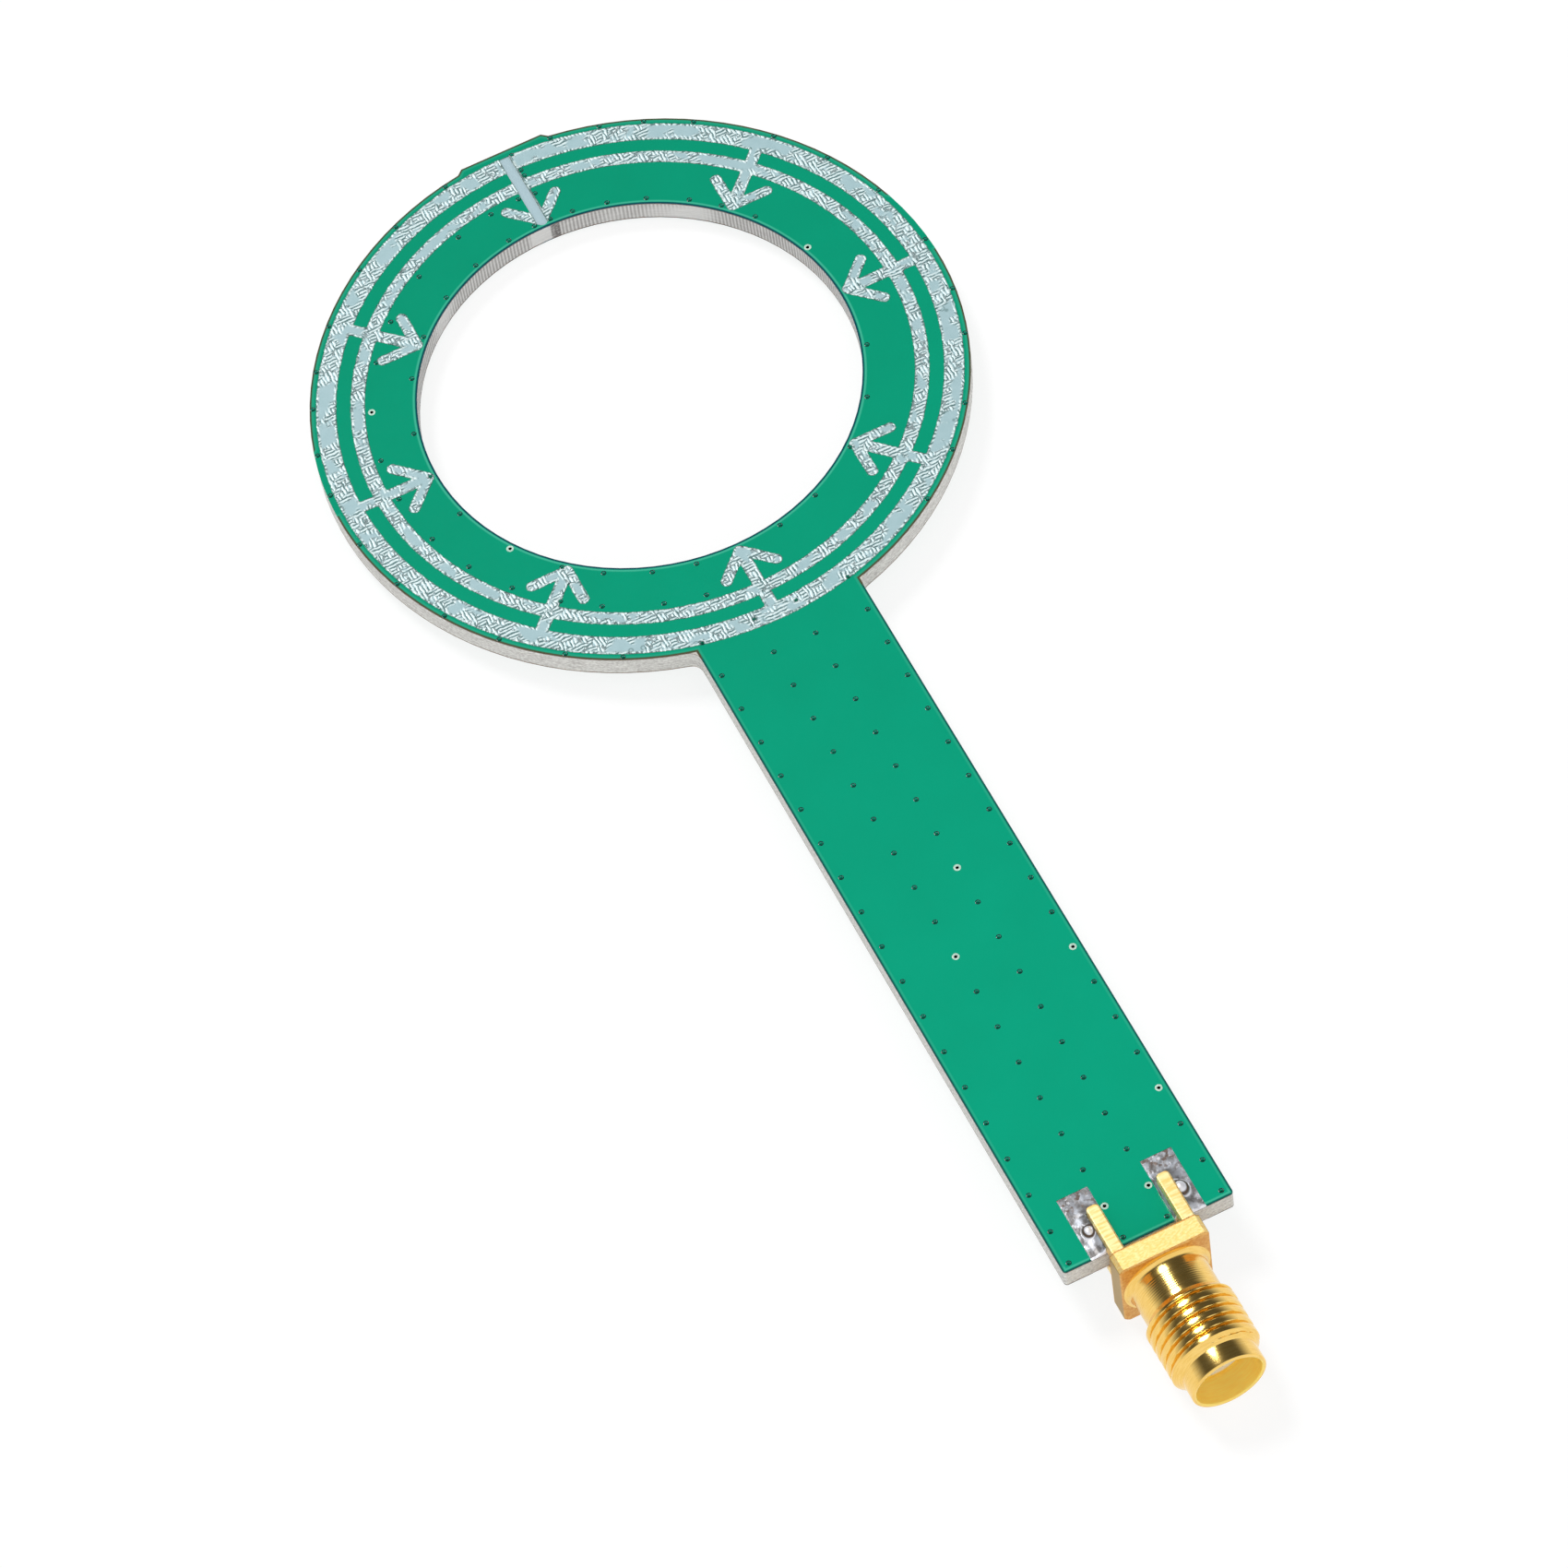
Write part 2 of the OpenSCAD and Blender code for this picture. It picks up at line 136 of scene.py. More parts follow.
def node_box(node: str) -> tuple[Vector, Vector]:
    """Low and high corner of a CAD node, in millimetres."""
    low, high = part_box(node)
    return low * PER_METRE, high * PER_METRE


def mount(name: str) -> Mapping[str, Any]:
    """Mount of the part's record that has the given name."""
    return next(entry for entry in frame["record"]["mounts"] if entry["name"] == name)


def add_object(name: str, data: bpy.types.ID) -> bpy.types.Object:
    """Adds an object to the scene.

    Args:
        name: Name of the object.
        data: Its mesh, camera or lamp.

    Returns:
        The new object.
    """
    made = bpy.data.objects.new(name, data)
    bpy.context.scene.collection.objects.link(made)
    return made


class Expr:
    """Socket of a shader node in a Python expression: each operator adds one Math node."""

    def __init__(self, sheet: "Sheet", socket: bpy.types.NodeSocket) -> None:
        """Keeps the socket and the sheet that holds it."""
        self.sheet = sheet
        self.socket = socket

    def maths(self, operation: str, first: "Expr | float", second: "Expr | float" = 0.0) -> "Expr":
        """Result of one Math node with the given operation and operands."""
        return self.sheet.node("ShaderNodeMath", {"operation": operation}, {0: first, 1: second})

    def __add__(self, other: "Expr | float") -> "Expr":
        """Sum."""
        return self.maths("ADD", self, other)

    def __radd__(self, other: float) -> "Expr":
        """Sum with a number on the left."""
        return self.maths("ADD", other, self)

    def __sub__(self, other: "Expr | float") -> "Expr":
        """Difference."""
        return self.maths("SUBTRACT", self, other)

    def __rsub__(self, other: float) -> "Expr":
        """Difference from a number on the left."""
        return self.maths("SUBTRACT", other, self)

    def __mul__(self, other: "Expr | float") -> "Expr":
        """Product."""
        return self.maths("MULTIPLY", self, other)

    def __rmul__(self, other: float) -> "Expr":
        """Product with a number on the left."""
        return self.maths("MULTIPLY", other, self)

    def __abs__(self) -> "Expr":
        """Size without sign."""
        return self.maths("ABSOLUTE", self)

    def low(self, other: "Expr | float") -> "Expr":
        """Smaller of two values."""
        return self.maths("MINIMUM", self, other)

    def high(self, other: "Expr | float") -> "Expr":
        """Larger of two values."""
        return self.maths("MAXIMUM", self, other)

    def root(self) -> "Expr":
        """Square root."""
        return self.maths("SQRT", self)

    def sine(self) -> "Expr":
        """Sine of an angle in radians."""
        return self.maths("SINE", self)

    def step(self, start: float, end: float) -> "Expr":
        """Smooth step from 0 at start to 1 at end."""
        settings = {"interpolation_type": "SMOOTHSTEP"}
        return self.sheet.node("ShaderNodeMapRange", settings, {0: self, 1: start, 2: end})

    def fall(self, start: float, end: float) -> "Expr":
        """Smooth step from 1 at start to 0 at end."""
        return 1.0 - self.step(start, end)

    def between(self, rise: Pair, fall: Pair) -> "Expr":
        """Smooth step from 0 to 1 over the rise and back to 0 over the fall."""
        return self.step(*rise) * self.fall(*fall)


def from_centre(x: Expr, y: Expr) -> Expr:
    """Distance from the loop's centre."""
    return (x * x + y * y).root()


def bearing(x: Expr, y: Expr) -> Expr:
    """Angle about the loop's centre, in radians."""
    return x.maths("ARCTAN2", y, x)


class Sheet:
    """Node sheet of a material or a world."""

    def __init__(self, tree: bpy.types.NodeTree, output: str = "ShaderNodeOutputMaterial") -> None:
        """Clears the tree and adds its output node.

        Args:
            tree: Node tree of the material or world.
            output: Type of the output node.
        """
        self.tree = tree
        self.tree.nodes.clear()
        self.output = self.tree.nodes.new(output)

    def node(
        self,
        kind: str,
        settings: Mapping[str, Any],
        sockets: Mapping[str | int, Any],
        result: str | int = 0,
    ) -> Expr:
        """Adds a node.

        Args:
            kind: Type of the node.
            settings: Properties of the node, set before its sockets.
            sockets: Values or links by the socket's name or number.
            result: Name or number of the output that is wanted.

        Returns:
            The wanted output.
        """
        made = self.tree.nodes.new(kind)
        for name, value in settings.items():
            setattr(made, name, value)
        for key, value in sockets.items():
            if isinstance(value, Expr):
                self.tree.links.new(value.socket, made.inputs[key])
            else:
                made.inputs[key].default_value = value
        return Expr(self, made.outputs[result])

    def surface(self, shader: Expr) -> None:
        """Links a shader to the sheet's output."""
        self.tree.links.new(shader.socket, self.output.inputs["Surface"])

    def scaled(self, vector: Expr, factor: float) -> Expr:
        """Vector times a number."""
        return self.node("ShaderNodeVectorMath", {"operation": "SCALE"}, {0: vector, "Scale": factor})

    def shifted(self, vector: Expr, other: Expr) -> Expr:
        """Sum of two vectors."""
        return self.node("ShaderNodeVectorMath", {"operation": "ADD"}, {0: vector, 1: other})

    def stretch(self, vector: Expr, scale: Point) -> Expr:
        """Vector with each axis scaled by its own factor."""
        return self.node("ShaderNodeVectorMath", {"operation": "MULTIPLY"}, {0: vector, 1: scale})

    def point(self) -> Expr:
        """Place on the surface in the part's frame, in millimetres."""
        return self.scaled(self.node("ShaderNodeTexCoord", {}, {}, "Object"), PER_METRE)

    def parts(self, vector: Expr) -> tuple[Expr, Expr, Expr]:
        """X, Y and Z of a vector."""
        split = self.node("ShaderNodeSeparateXYZ", {}, {0: vector}).socket.node
        return tuple(Expr(self, output) for output in split.outputs)

    def grain(self, vector: Expr, scale: float, detail: float = 2.0) -> Expr:
        """Noise of about 0 to 1, with the given number of waves in a millimetre."""
        return self.node("ShaderNodeTexNoise", {}, {"Vector": vector, "Scale": scale, "Detail": detail})

    def wander(self, vector: Expr, scale: float, reach: float) -> Expr:
        """Shifts a place by noise.

        Args:
            vector: The place.
            scale: Waves of the noise in a millimetre.
            reach: Size of the shift in millimetres.

        Returns:
            The shifted place.
        """
        sockets = {"Vector": vector, "Scale": scale, "Detail": 2.0}
        shift = self.node("ShaderNodeTexNoise", {}, sockets, "Color")
        return self.shifted(vector, self.scaled(shift, reach))

    def cells(self, vector: Expr, scale: float) -> Expr:
        """Distance to the nearest centre of a pattern of cells."""
        sockets = {"Vector": vector, "Scale": scale}
        return self.node("ShaderNodeTexVoronoi", {"feature": "F1"}, sockets, "Distance")

    def mix(self, share: Expr | float, first: Expr | Colour, second: Expr | Colour) -> Expr:
        """Blends two colours: the first at a share of 0, the second at 1."""
        return self.node("ShaderNodeMix", {"data_type": "RGBA"}, {0: share, 6: first, 7: second}, 2)

    def relief(self, height: Expr) -> Expr:
        """Normal of a height in millimetres."""
        return self.node("ShaderNodeBump", {}, {"Strength": 1.0, "Distance": MM, "Height": height})

    def attribute(self, name: str) -> Expr:
        """Value of a named mesh attribute."""
        return self.node("ShaderNodeAttribute", {"attribute_name": name}, {}, "Fac")

    def principled(self, sockets: Mapping[str, Any]) -> None:
        """Ends the sheet in a Principled shader with the given sockets."""
        self.surface(self.node("ShaderNodeBsdfPrincipled", {}, sockets))


@dataclass(frozen=True)
class Finish:
    """Base of every finish: its material is made once, on first use.

    In the finishes, a band is where a smooth step starts and ends, waves are a noise's waves in a
    millimetre with its detail, a share is the most that a colour covers, and heights are in millimetres.
    """

    name: str

    def material(self) -> bpy.types.Material:
        """Gives the finish's material.

        Returns:
            The material of the finish's name.
        """
        made = bpy.data.materials.get(self.name)
        if made is None:
            made = bpy.data.materials.new(self.name)
            made.use_nodes = True
            self.paint(Sheet(made.node_tree))
        return made

    def paint(self, sheet: Sheet) -> None:
        """Adds the finish's nodes to an empty sheet."""
        raise NotImplementedError


@dataclass(frozen=True)
class BoardPlan:
    """Main sizes of the board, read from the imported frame."""

    ring_radius: float
    loop_radius: float
    far_y: float
    end_y: float
    mask_top: float
    copper_top: float
    laminate_top: float
    tin_top: float
    handle_half: float = 6.0
    tab_half: float = 3.05
    tab_slope: float = 0.55
    tab_drop: float = 0.49
    line_radius: float = 19.83
    line_half: float = 0.9
    line_clearance: float = 0.3

    @classmethod
    def from_frame(cls) -> "BoardPlan":
        """Reads the sizes that the frame gives.

        Returns:
            The plan in millimetres.
        """
        low, high = node_box("laminate")
        tops = {node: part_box(node)[1].z * PER_METRE for node in ("top_mask", "top_copper", "tinned_loop")}
        return cls(
            ring_radius=high.x,
            loop_radius=mount("loop_opening")["dims"]["r_mm"],
            far_y=high.y,
            end_y=low.y,
            mask_top=tops["top_mask"],
            copper_top=tops["top_copper"],
            laminate_top=high.z,
            tin_top=tops["tinned_loop"],
        )


@dataclass(frozen=True)
class MaskFinish(Finish):
    """Glossy green solder mask: painted shade as a dark line at the board's edges, a painted highlight just
    inside them, bare laminate beyond its own outline.
    """

    plan: BoardPlan
    face: Face
    body: Colour = display(0, 172, 134)
    deep: Colour = display(0, 153, 116)
    # Painted shade: the dark line along the board's edges where the mask rounds off; along the ring's outer
    # rim it is brown, the copper's colour at the edge.
    edge: Colour = display(16, 92, 86)
    loop_edge: Colour = display(4, 76, 88)
    rim_edge: Colour = display(84, 82, 58)
    # Painted highlight: the lighter band just inside the board's edges, where the mask rounds over them.
    lip: Colour = display(84, 204, 172)
    bare: Colour = display(2, 106, 82)
    laminate: Colour = display(212, 208, 200)
    fade_share: float = 0.6
    cloud_share: float = 0.4
    cloud_waves: Pair = (0.25, 3.0)
    swell_waves: float = 1.4
    swell_height: float = 0.0016
    peel_waves: float = 7.0
    peel_height: float = 0.0006
    cleared_band: Pair = (0.4, 0.6)
    cleared_share: float = 0.85
    cleared_drop: float = 0.012
    highlight_rise: Pair = (0.1, 0.19)
    highlight_fall: Pair = (0.22, 0.34)
    highlight_share: float = 0.2
    strong_highlight_share: float = 0.4
    strong_highlight_band: Pair = (0.3, 0.6)
    rim_band: Pair = (-1.0, 0.0)
    beyond_band: Pair = (0.4, 0.8)
    line_band: Pair = (0.07, 0.17)
    outline_band: Pair = (-0.06, -0.01)
    roughness: float = 0.09
    haze: float = 0.05
    haze_waves: float = 3.0

    def depth(self, x: Expr, y: Expr) -> Expr:
        """Distance from the board's outline.

        Args:
            x: X in millimetres.
            y: Y in millimetres.

        Returns:
            The distance, positive inside.
        """
        plan = self.plan
        radius = from_centre(x, y)
        handle = (plan.handle_half - abs(x)).low(y - plan.end_y).low(0.0 - y)
        length = math.hypot(plan.tab_slope, plan.tab_drop)
        end = (plan.tab_half - abs(x)) * (plan.tab_drop / length)
        slope = end + (plan.far_y - y) * (plan.tab_slope / length)
        tab = slope.low(plan.far_y - y).low(y)
        return (plan.ring_radius - radius).high(handle).high(tab).low(radius - plan.loop_radius)

    def clearance(self, x: Expr, y: Expr) -> Expr:
        """Shows where the copper is cleared beside the signal line.

        Args:
            x: X in millimetres.
            y: Y in millimetres.

        Returns:
            1 over the cleared strips, 0 elsewhere.
        """
        plan = self.plan
        straight = abs(x).high(y + plan.line_radius)
        round_part = abs(from_centre(x, y) - plan.line_radius).high(x)
        path = straight.low(round_part)
        middle = plan.line_half + plan.line_clearance / 2
        start, end = (plan.line_clearance * share for share in self.cleared_band)
        return abs(path - middle).fall(start, end)

    def paint(self, sheet: Sheet) -> None:
        """Adds the mask's nodes.

        Args:
            sheet: The finish's empty sheet.
        """
        plan = self.plan
        point = sheet.point()
        x, y, _ = sheet.parts(point)
        radius = from_centre(x, y)
        depth = self.depth(x, y)
        along = y - plan.end_y
        fade = along.step(0.0, plan.far_y - plan.end_y)
        cloud = sheet.grain(point, *self.cloud_waves)
        colour = sheet.mix(self.fade_share * fade + self.cloud_share * cloud, self.body, self.deep)
        swell = self.swell_height * sheet.grain(point, self.swell_waves)
        height = swell + self.peel_height * sheet.grain(point, self.peel_waves)
        if self.face is Face.BOTTOM:
            cleared = self.clearance(x, y)
            colour = sheet.mix(self.cleared_share * cleared, colour, self.bare)
            height = height - self.cleared_drop * cleared
        # Painted highlight just inside the edges, stronger near the board's end and along the loop's edge.
        lip = depth.between(self.highlight_rise, self.highlight_fall)
        strong_highlight = along.low(radius - plan.loop_radius).fall(*self.strong_highlight_band)
        colour = sheet.mix((self.highlight_share + self.strong_highlight_share * strong_highlight) * lip, colour, self.lip)
        # Painted shade: a dark line along the edges, dark teal on the loop and the handle, brown along the
        # ring's outer rim.
        outside = radius.step(*moved(plan.ring_radius, self.rim_band))
        beyond = radius.step(*moved(plan.ring_radius, self.beyond_band))
        edge = sheet.mix(outside, self.loop_edge, self.rim_edge)
        edge = sheet.mix(beyond, edge, self.edge)
        colour = sheet.mix(depth.fall(*self.line_band), colour, edge)
        colour = sheet.mix(depth.fall(*self.outline_band), colour, self.laminate)
        sheet.principled({
            "Base Color": colour,
            "Roughness": self.roughness + self.haze * sheet.grain(point, self.haze_waves),
            "IOR": RESIN_IOR,
            "Normal": sheet.relief(height),
        })


@dataclass(frozen=True)
class LaminateFinish(Finish):
    """Sawn glass laminate: router ridges inside the loop, fibre layers on the outer walls."""

    plan: BoardPlan
    pale: Colour = display(240, 240, 235)
    grey: Colour = display(172, 168, 164)
    loop_pale: Colour = display(230, 230, 228)
    loop_grey: Colour = display(156, 153, 151)
    dark: Colour = display(110, 107, 105)
    gap: Colour = display(176, 203, 212)
    ridge_width: float = 0.27
    ridge_sway: float = 2.5
    sway_waves: float = 0.5
    loop_band: Pair = (0.04, 0.1)
    far_band: Pair = (0.9, 0.95)
    plunge_x: float = 0.66
    plunge_half: float = 0.28
    plunge_edge: float = 0.12
    plunge_band: Pair = (0.35, 0.6)
    plain_half: float = 0.75
    plain_edge: float = 0.3
    patch_waves: Pair = (0.13, 1.0)
    patch_band: Pair = (0.3, 0.42)
    fibre_marks: Point = (0.7, 0.7, 13.0)
    fibre_band: Pair = (0.3, 0.7)
    strand_marks: Point = (5.0, 5.0, 9.0)
    strand_band: Pair = (0.34, 0.66)
    wall_share: float = 0.45
    loop_drop: float = 0.25
    ridge_share: float = 0.75
    face_band: Pair = (-0.012, -0.004)
    roughness: float = 0.62
    gap_gloss: float = 0.25
    ridge_height: float = 0.03
    fibre_height: float = 0.02
    strand_height: float = 0.01

    def paint(self, sheet: Sheet) -> None:
        """Adds the laminate's nodes.

        Args:
            sheet: The finish's empty sheet.
        """
        plan = self.plan
        point = sheet.point()
        x, y, z = sheet.parts(point)
        turns = TURN * plan.loop_radius / self.ridge_width
        sway = self.ridge_sway * sheet.grain(point, self.sway_waves)
        ridges = 0.5 + 0.5 * (turns * bearing(x, y) + sway).sine()
        inner = from_centre(x, y).fall(*moved(plan.loop_radius, self.loop_band))
        far = inner * y.step(*(plan.loop_radius * share for share in self.far_band))
        plain_end = self.plain_half + self.plain_edge
        plain = far * abs(x + 0.5 * self.plain_half).fall(self.plain_half, plain_end)
        ridged = inner * (1.0 - plain) * sheet.grain(point, *self.patch_waves).step(*self.patch_band)
        plunge_end = self.plunge_half + self.plunge_edge
        plunge = far * abs(x - self.plunge_x).fall(self.plunge_half, plunge_end)
        fibres = sheet.grain(sheet.stretch(point, self.fibre_marks), 1.0, 3.0)
        strands = sheet.grain(sheet.stretch(point, self.strand_marks), 1.0)
        weave = inner * strands + (1.0 - inner) * strands.step(*self.strand_band)
        share = self.wall_share - self.loop_drop * inner
        tone = share * fibres.step(*self.fibre_band) + self.ridge_share * ridged * ridges
        tone = tone + share * weave
        light = sheet.mix(inner, self.pale, self.loop_pale)
        shade = sheet.mix(inner, self.grey, self.loop_grey)
        wall = sheet.mix(tone.low(1.0), light, shade)
        wall = sheet.mix(plunge * (0.5 + 0.5 * strands.step(*self.plunge_band)), wall, self.dark)
        bare = z.step(*moved(plan.laminate_top, self.face_band))
        height = self.ridge_height * ridged * ridges + self.fibre_height * fibres
        sheet.principled({
            "Base Color": sheet.mix(bare, wall, self.gap),
            "Roughness": self.roughness - self.gap_gloss * bare,
            "IOR": RESIN_IOR,
            "Normal": sheet.relief(height + self.strand_height * strands),
        })


@dataclass(frozen=True)
class CopperFinish(Finish):
    """Copper foil: brown at its cut edges, tinned on its outer face."""

    plan: BoardPlan
    body: Colour = display(150, 108, 76)
    shade: Colour = display(112, 80, 56)
    tinned: Colour = display(168, 190, 194)
    cloud_waves: float = 5.0
    face_band: Pair = (-0.006, -0.002)
    metallic: float = 0.6
    tinned_drop: float = 0.5
    roughness: float = 0.34
    haze: float = 0.2

    def paint(self, sheet: Sheet) -> None:
        """Adds the copper's nodes.

        Args:
            sheet: The finish's empty sheet.
        """
        point = sheet.point()
        _, _, z = sheet.parts(point)
        cloud = sheet.grain(point, self.cloud_waves)
        outer = abs(z).step(*moved(self.plan.copper_top, self.face_band))
        sheet.principled({
            "Base Color": sheet.mix(outer, sheet.mix(cloud, self.shade, self.body), self.tinned),
            "Metallic": self.metallic - self.tinned_drop * outer,
            "Roughness": self.roughness + self.haze * cloud,
        })


@dataclass(frozen=True)
class TinFinish(Finish):
    """Hot-levelled tin: smooth pale lakes, fine ridges along X or Y between them, and serrated rims, with
    painted highlights on the ridges' crests and the rims' teeth, painted shade in the grooves, pits and
    notches, and a painted shadow along the mask's edge.
    """

    lake: Colour = display(174, 203, 209)
    lake_deep: Colour = display(158, 191, 196)
    # Painted highlight on the ridges' crests and the rims' teeth.
    crest: Colour = display(232, 250, 250)
    # Painted shade in the grooves between the ridges, in the pits and in the notches between the rims'
    # teeth.
    hollow_shade: Colour = display(52, 96, 92)
    # Painted shadow: the dark outline where the mask's edge stands over the tin.
    outline: Colour = display(64, 112, 102)
    ridge_pitch: float = 0.26
    ridge_sway: Pair = (2.3, 0.26)
    ridge_height: float = 0.008
    patch_waves: Pair = (1.5, 1.0)
    patch_band: Pair = (0.48, 0.52)
    crest_highlight_band: Pair = (-0.2, 0.7)
    groove_shade_band: Pair = (0.25, 0.75)
    groove_shade_share: float = 0.9
    broken_waves: float = 3.0
    broken_band: Pair = (0.36, 0.46)
    lake_waves: float = 1.3
    lake_band: Pair = (0.1, 0.26)
    pit_scale: float = 0.62
    pit_rise: Pair = (0.07, 0.1)
    pit_fall: Pair = (0.12, 0.16)
    pit_share: float = 0.5
    teeth_scale: float = 95.0
    teeth_stretch: float = 1.4
    teeth_height: float = 0.02
    fringe_band: Pair = (0.08, 0.24)
    tooth_highlight_band: Pair = (0.48, 0.56)
    tooth_highlight_share: float = 0.8
    notch_band: Pair = (0.38, 0.46)
    notch_share: float = 0.6
    outline_band: Pair = (0.015, 0.08)
    rim_shadow_share: float = 0.85
    swell_waves: float = 2.2
    swell_height: float = 0.004
    metallic: float = 0.1
    roughness: float = 0.4
    lake_haze: float = 0.1

    def ridges(self, sheet: Sheet, place: Expr) -> Expr:
        """Waves of fine ridges, which run along X in some patches and along Y in others.

        Args:
            sheet: The finish's sheet.
            place: Place in millimetres.

        Returns:
            -1 on the crests, 1 in the grooves.
        """
        x, y, _ = sheet.parts(sheet.wander(place, *self.ridge_sway))
        patch = sheet.grain(place, *self.patch_waves).step(*self.patch_band)
        across = x + patch * (y - x)
        return (TURN / self.ridge_pitch * across).sine()

    def teeth(self, sheet: Sheet, place: Expr) -> Expr:
        """Noise in strokes that point to the loop's centre.

        Args:
            sheet: The finish's sheet.
            place: Place in millimetres.

        Returns:
            Values of about 0 to 1.
        """
        x, y, _ = sheet.parts(place)
        around = self.teeth_scale * bearing(x, y)
        outwards = self.teeth_stretch * from_centre(x, y)
        return sheet.grain(sheet.node("ShaderNodeCombineXYZ", {}, {0: around, 1: outwards}), 1.0, 1.0)

    def paint(self, sheet: Sheet) -> None:
        """Adds the tin's nodes.

        Args:
            sheet: The finish's empty sheet.
        """
        point = sheet.point()
        rim = sheet.attribute("rim")
        ridges = self.ridges(sheet, point)
        teeth = self.teeth(sheet, point)
        broken = sheet.grain(point, self.broken_waves).step(*self.broken_band)
        groove_shading = ridges.step(*self.groove_shade_band) * broken
        pits = sheet.cells(point, self.pit_scale).between(self.pit_rise, self.pit_fall)
        lake = sheet.attribute("lake") * rim.step(*self.lake_band)
        smooth = sheet.mix(sheet.grain(point, self.lake_waves), self.lake_deep, self.lake)
        # Painted shade in the pits of the lakes.
        smooth = sheet.mix(self.pit_share * pits, smooth, self.hollow_shade)
        # Painted highlight on the ridges' crests.
        ridged = sheet.mix((0.0 - ridges).step(*self.crest_highlight_band), self.lake, self.crest)
        # Painted shade in the grooves, in patches.
        ridged = sheet.mix(self.groove_shade_share * groove_shading, ridged, self.hollow_shade)
        colour = sheet.mix(lake, ridged, smooth)
        fringe = rim.fall(*self.fringe_band)
        # Painted highlight on the rims' teeth.
        colour = sheet.mix(self.tooth_highlight_share * fringe * teeth.step(*self.tooth_highlight_band), colour, self.crest)
        # Painted shade in the notches between the teeth.
        colour = sheet.mix(self.notch_share * fringe * teeth.fall(*self.notch_band), colour, self.hollow_shade)
        # Painted shadow along the mask's edge.
        colour = sheet.mix(self.rim_shadow_share * rim.fall(*self.outline_band), colour, self.outline)
        height = self.teeth_height * fringe * teeth - self.ridge_height * (1.0 - lake) * ridges
        height = height + self.swell_height * sheet.grain(point, self.swell_waves)
        sheet.principled({
            "Base Color": colour,
            "Metallic": self.metallic,
            "Roughness": self.roughness + self.lake_haze * lake,
            "Normal": sheet.relief(height),
        })


@dataclass(frozen=True, kw_only=True)
class GrainFinish(Finish):
    """Metal or plastic with a fine grain, stretched along its machining marks."""

    body: Colour
    shade: Colour
    roughness: float
    relief: float
    metallic: float = 1.0
    spread: float = 0.1
    marks: Point = (6.0, 6.0, 6.0)
    marks_detail: float = 4.0
    marks_band: Pair = (0.36, 0.64)
    marks_share: float = 0.7
    cloud_waves: float = 0.8
    cloud_share: float = 0.3

    def paint(self, sheet: Sheet) -> None:
        """Adds the finish's nodes.

        Args:
            sheet: The finish's empty sheet.
        """
        point = sheet.point()
        marks = sheet.grain(sheet.stretch(point, self.marks), 1.0, self.marks_detail)
        sheet.principled({
            "Base Color": self.colour(sheet, point, marks),
            "Metallic": self.metallic,
            "Roughness": self.roughness + self.spread * (marks - 0.5),
            "Normal": sheet.relief(self.relief * marks),
        })

    def colour(self, sheet: Sheet, point: Expr, marks: Expr) -> Expr:
        """Mixes the two colours.

        Args:
            sheet: The finish's sheet.
            point: Place in millimetres.
            marks: The machining marks, of about 0 to 1.

        Returns:
            The colour.
        """
        cloud = self.cloud_share * sheet.grain(point, self.cloud_waves)
        share = cloud + self.marks_share * marks.step(*self.marks_band)
        return sheet.mix(share, self.shade, self.body)


@dataclass(frozen=True, kw_only=True)
class FlangeFinish(GrainFinish):
    """Satin metal with painted shade on the walls to both sides."""

    wall: Colour
    shaded_side_x: float
    side_shade_band: Pair = (-0.05, -0.01)

    def colour(self, sheet: Sheet, point: Expr, marks: Expr) -> Expr:
        """Mixes the two colours, and the walls' painted shade near the sides.

        Args:
            sheet: The finish's sheet.
            point: Place in millimetres.
            marks: The machining marks, of about 0 to 1.

        Returns:
            The colour.
        """
        x, _, _ = sheet.parts(point)
        # Painted shade on the side walls.
        beside = abs(x).step(*moved(self.shaded_side_x, self.side_shade_band))
        return sheet.mix(beside, super().colour(sheet, point, marks), self.wall)


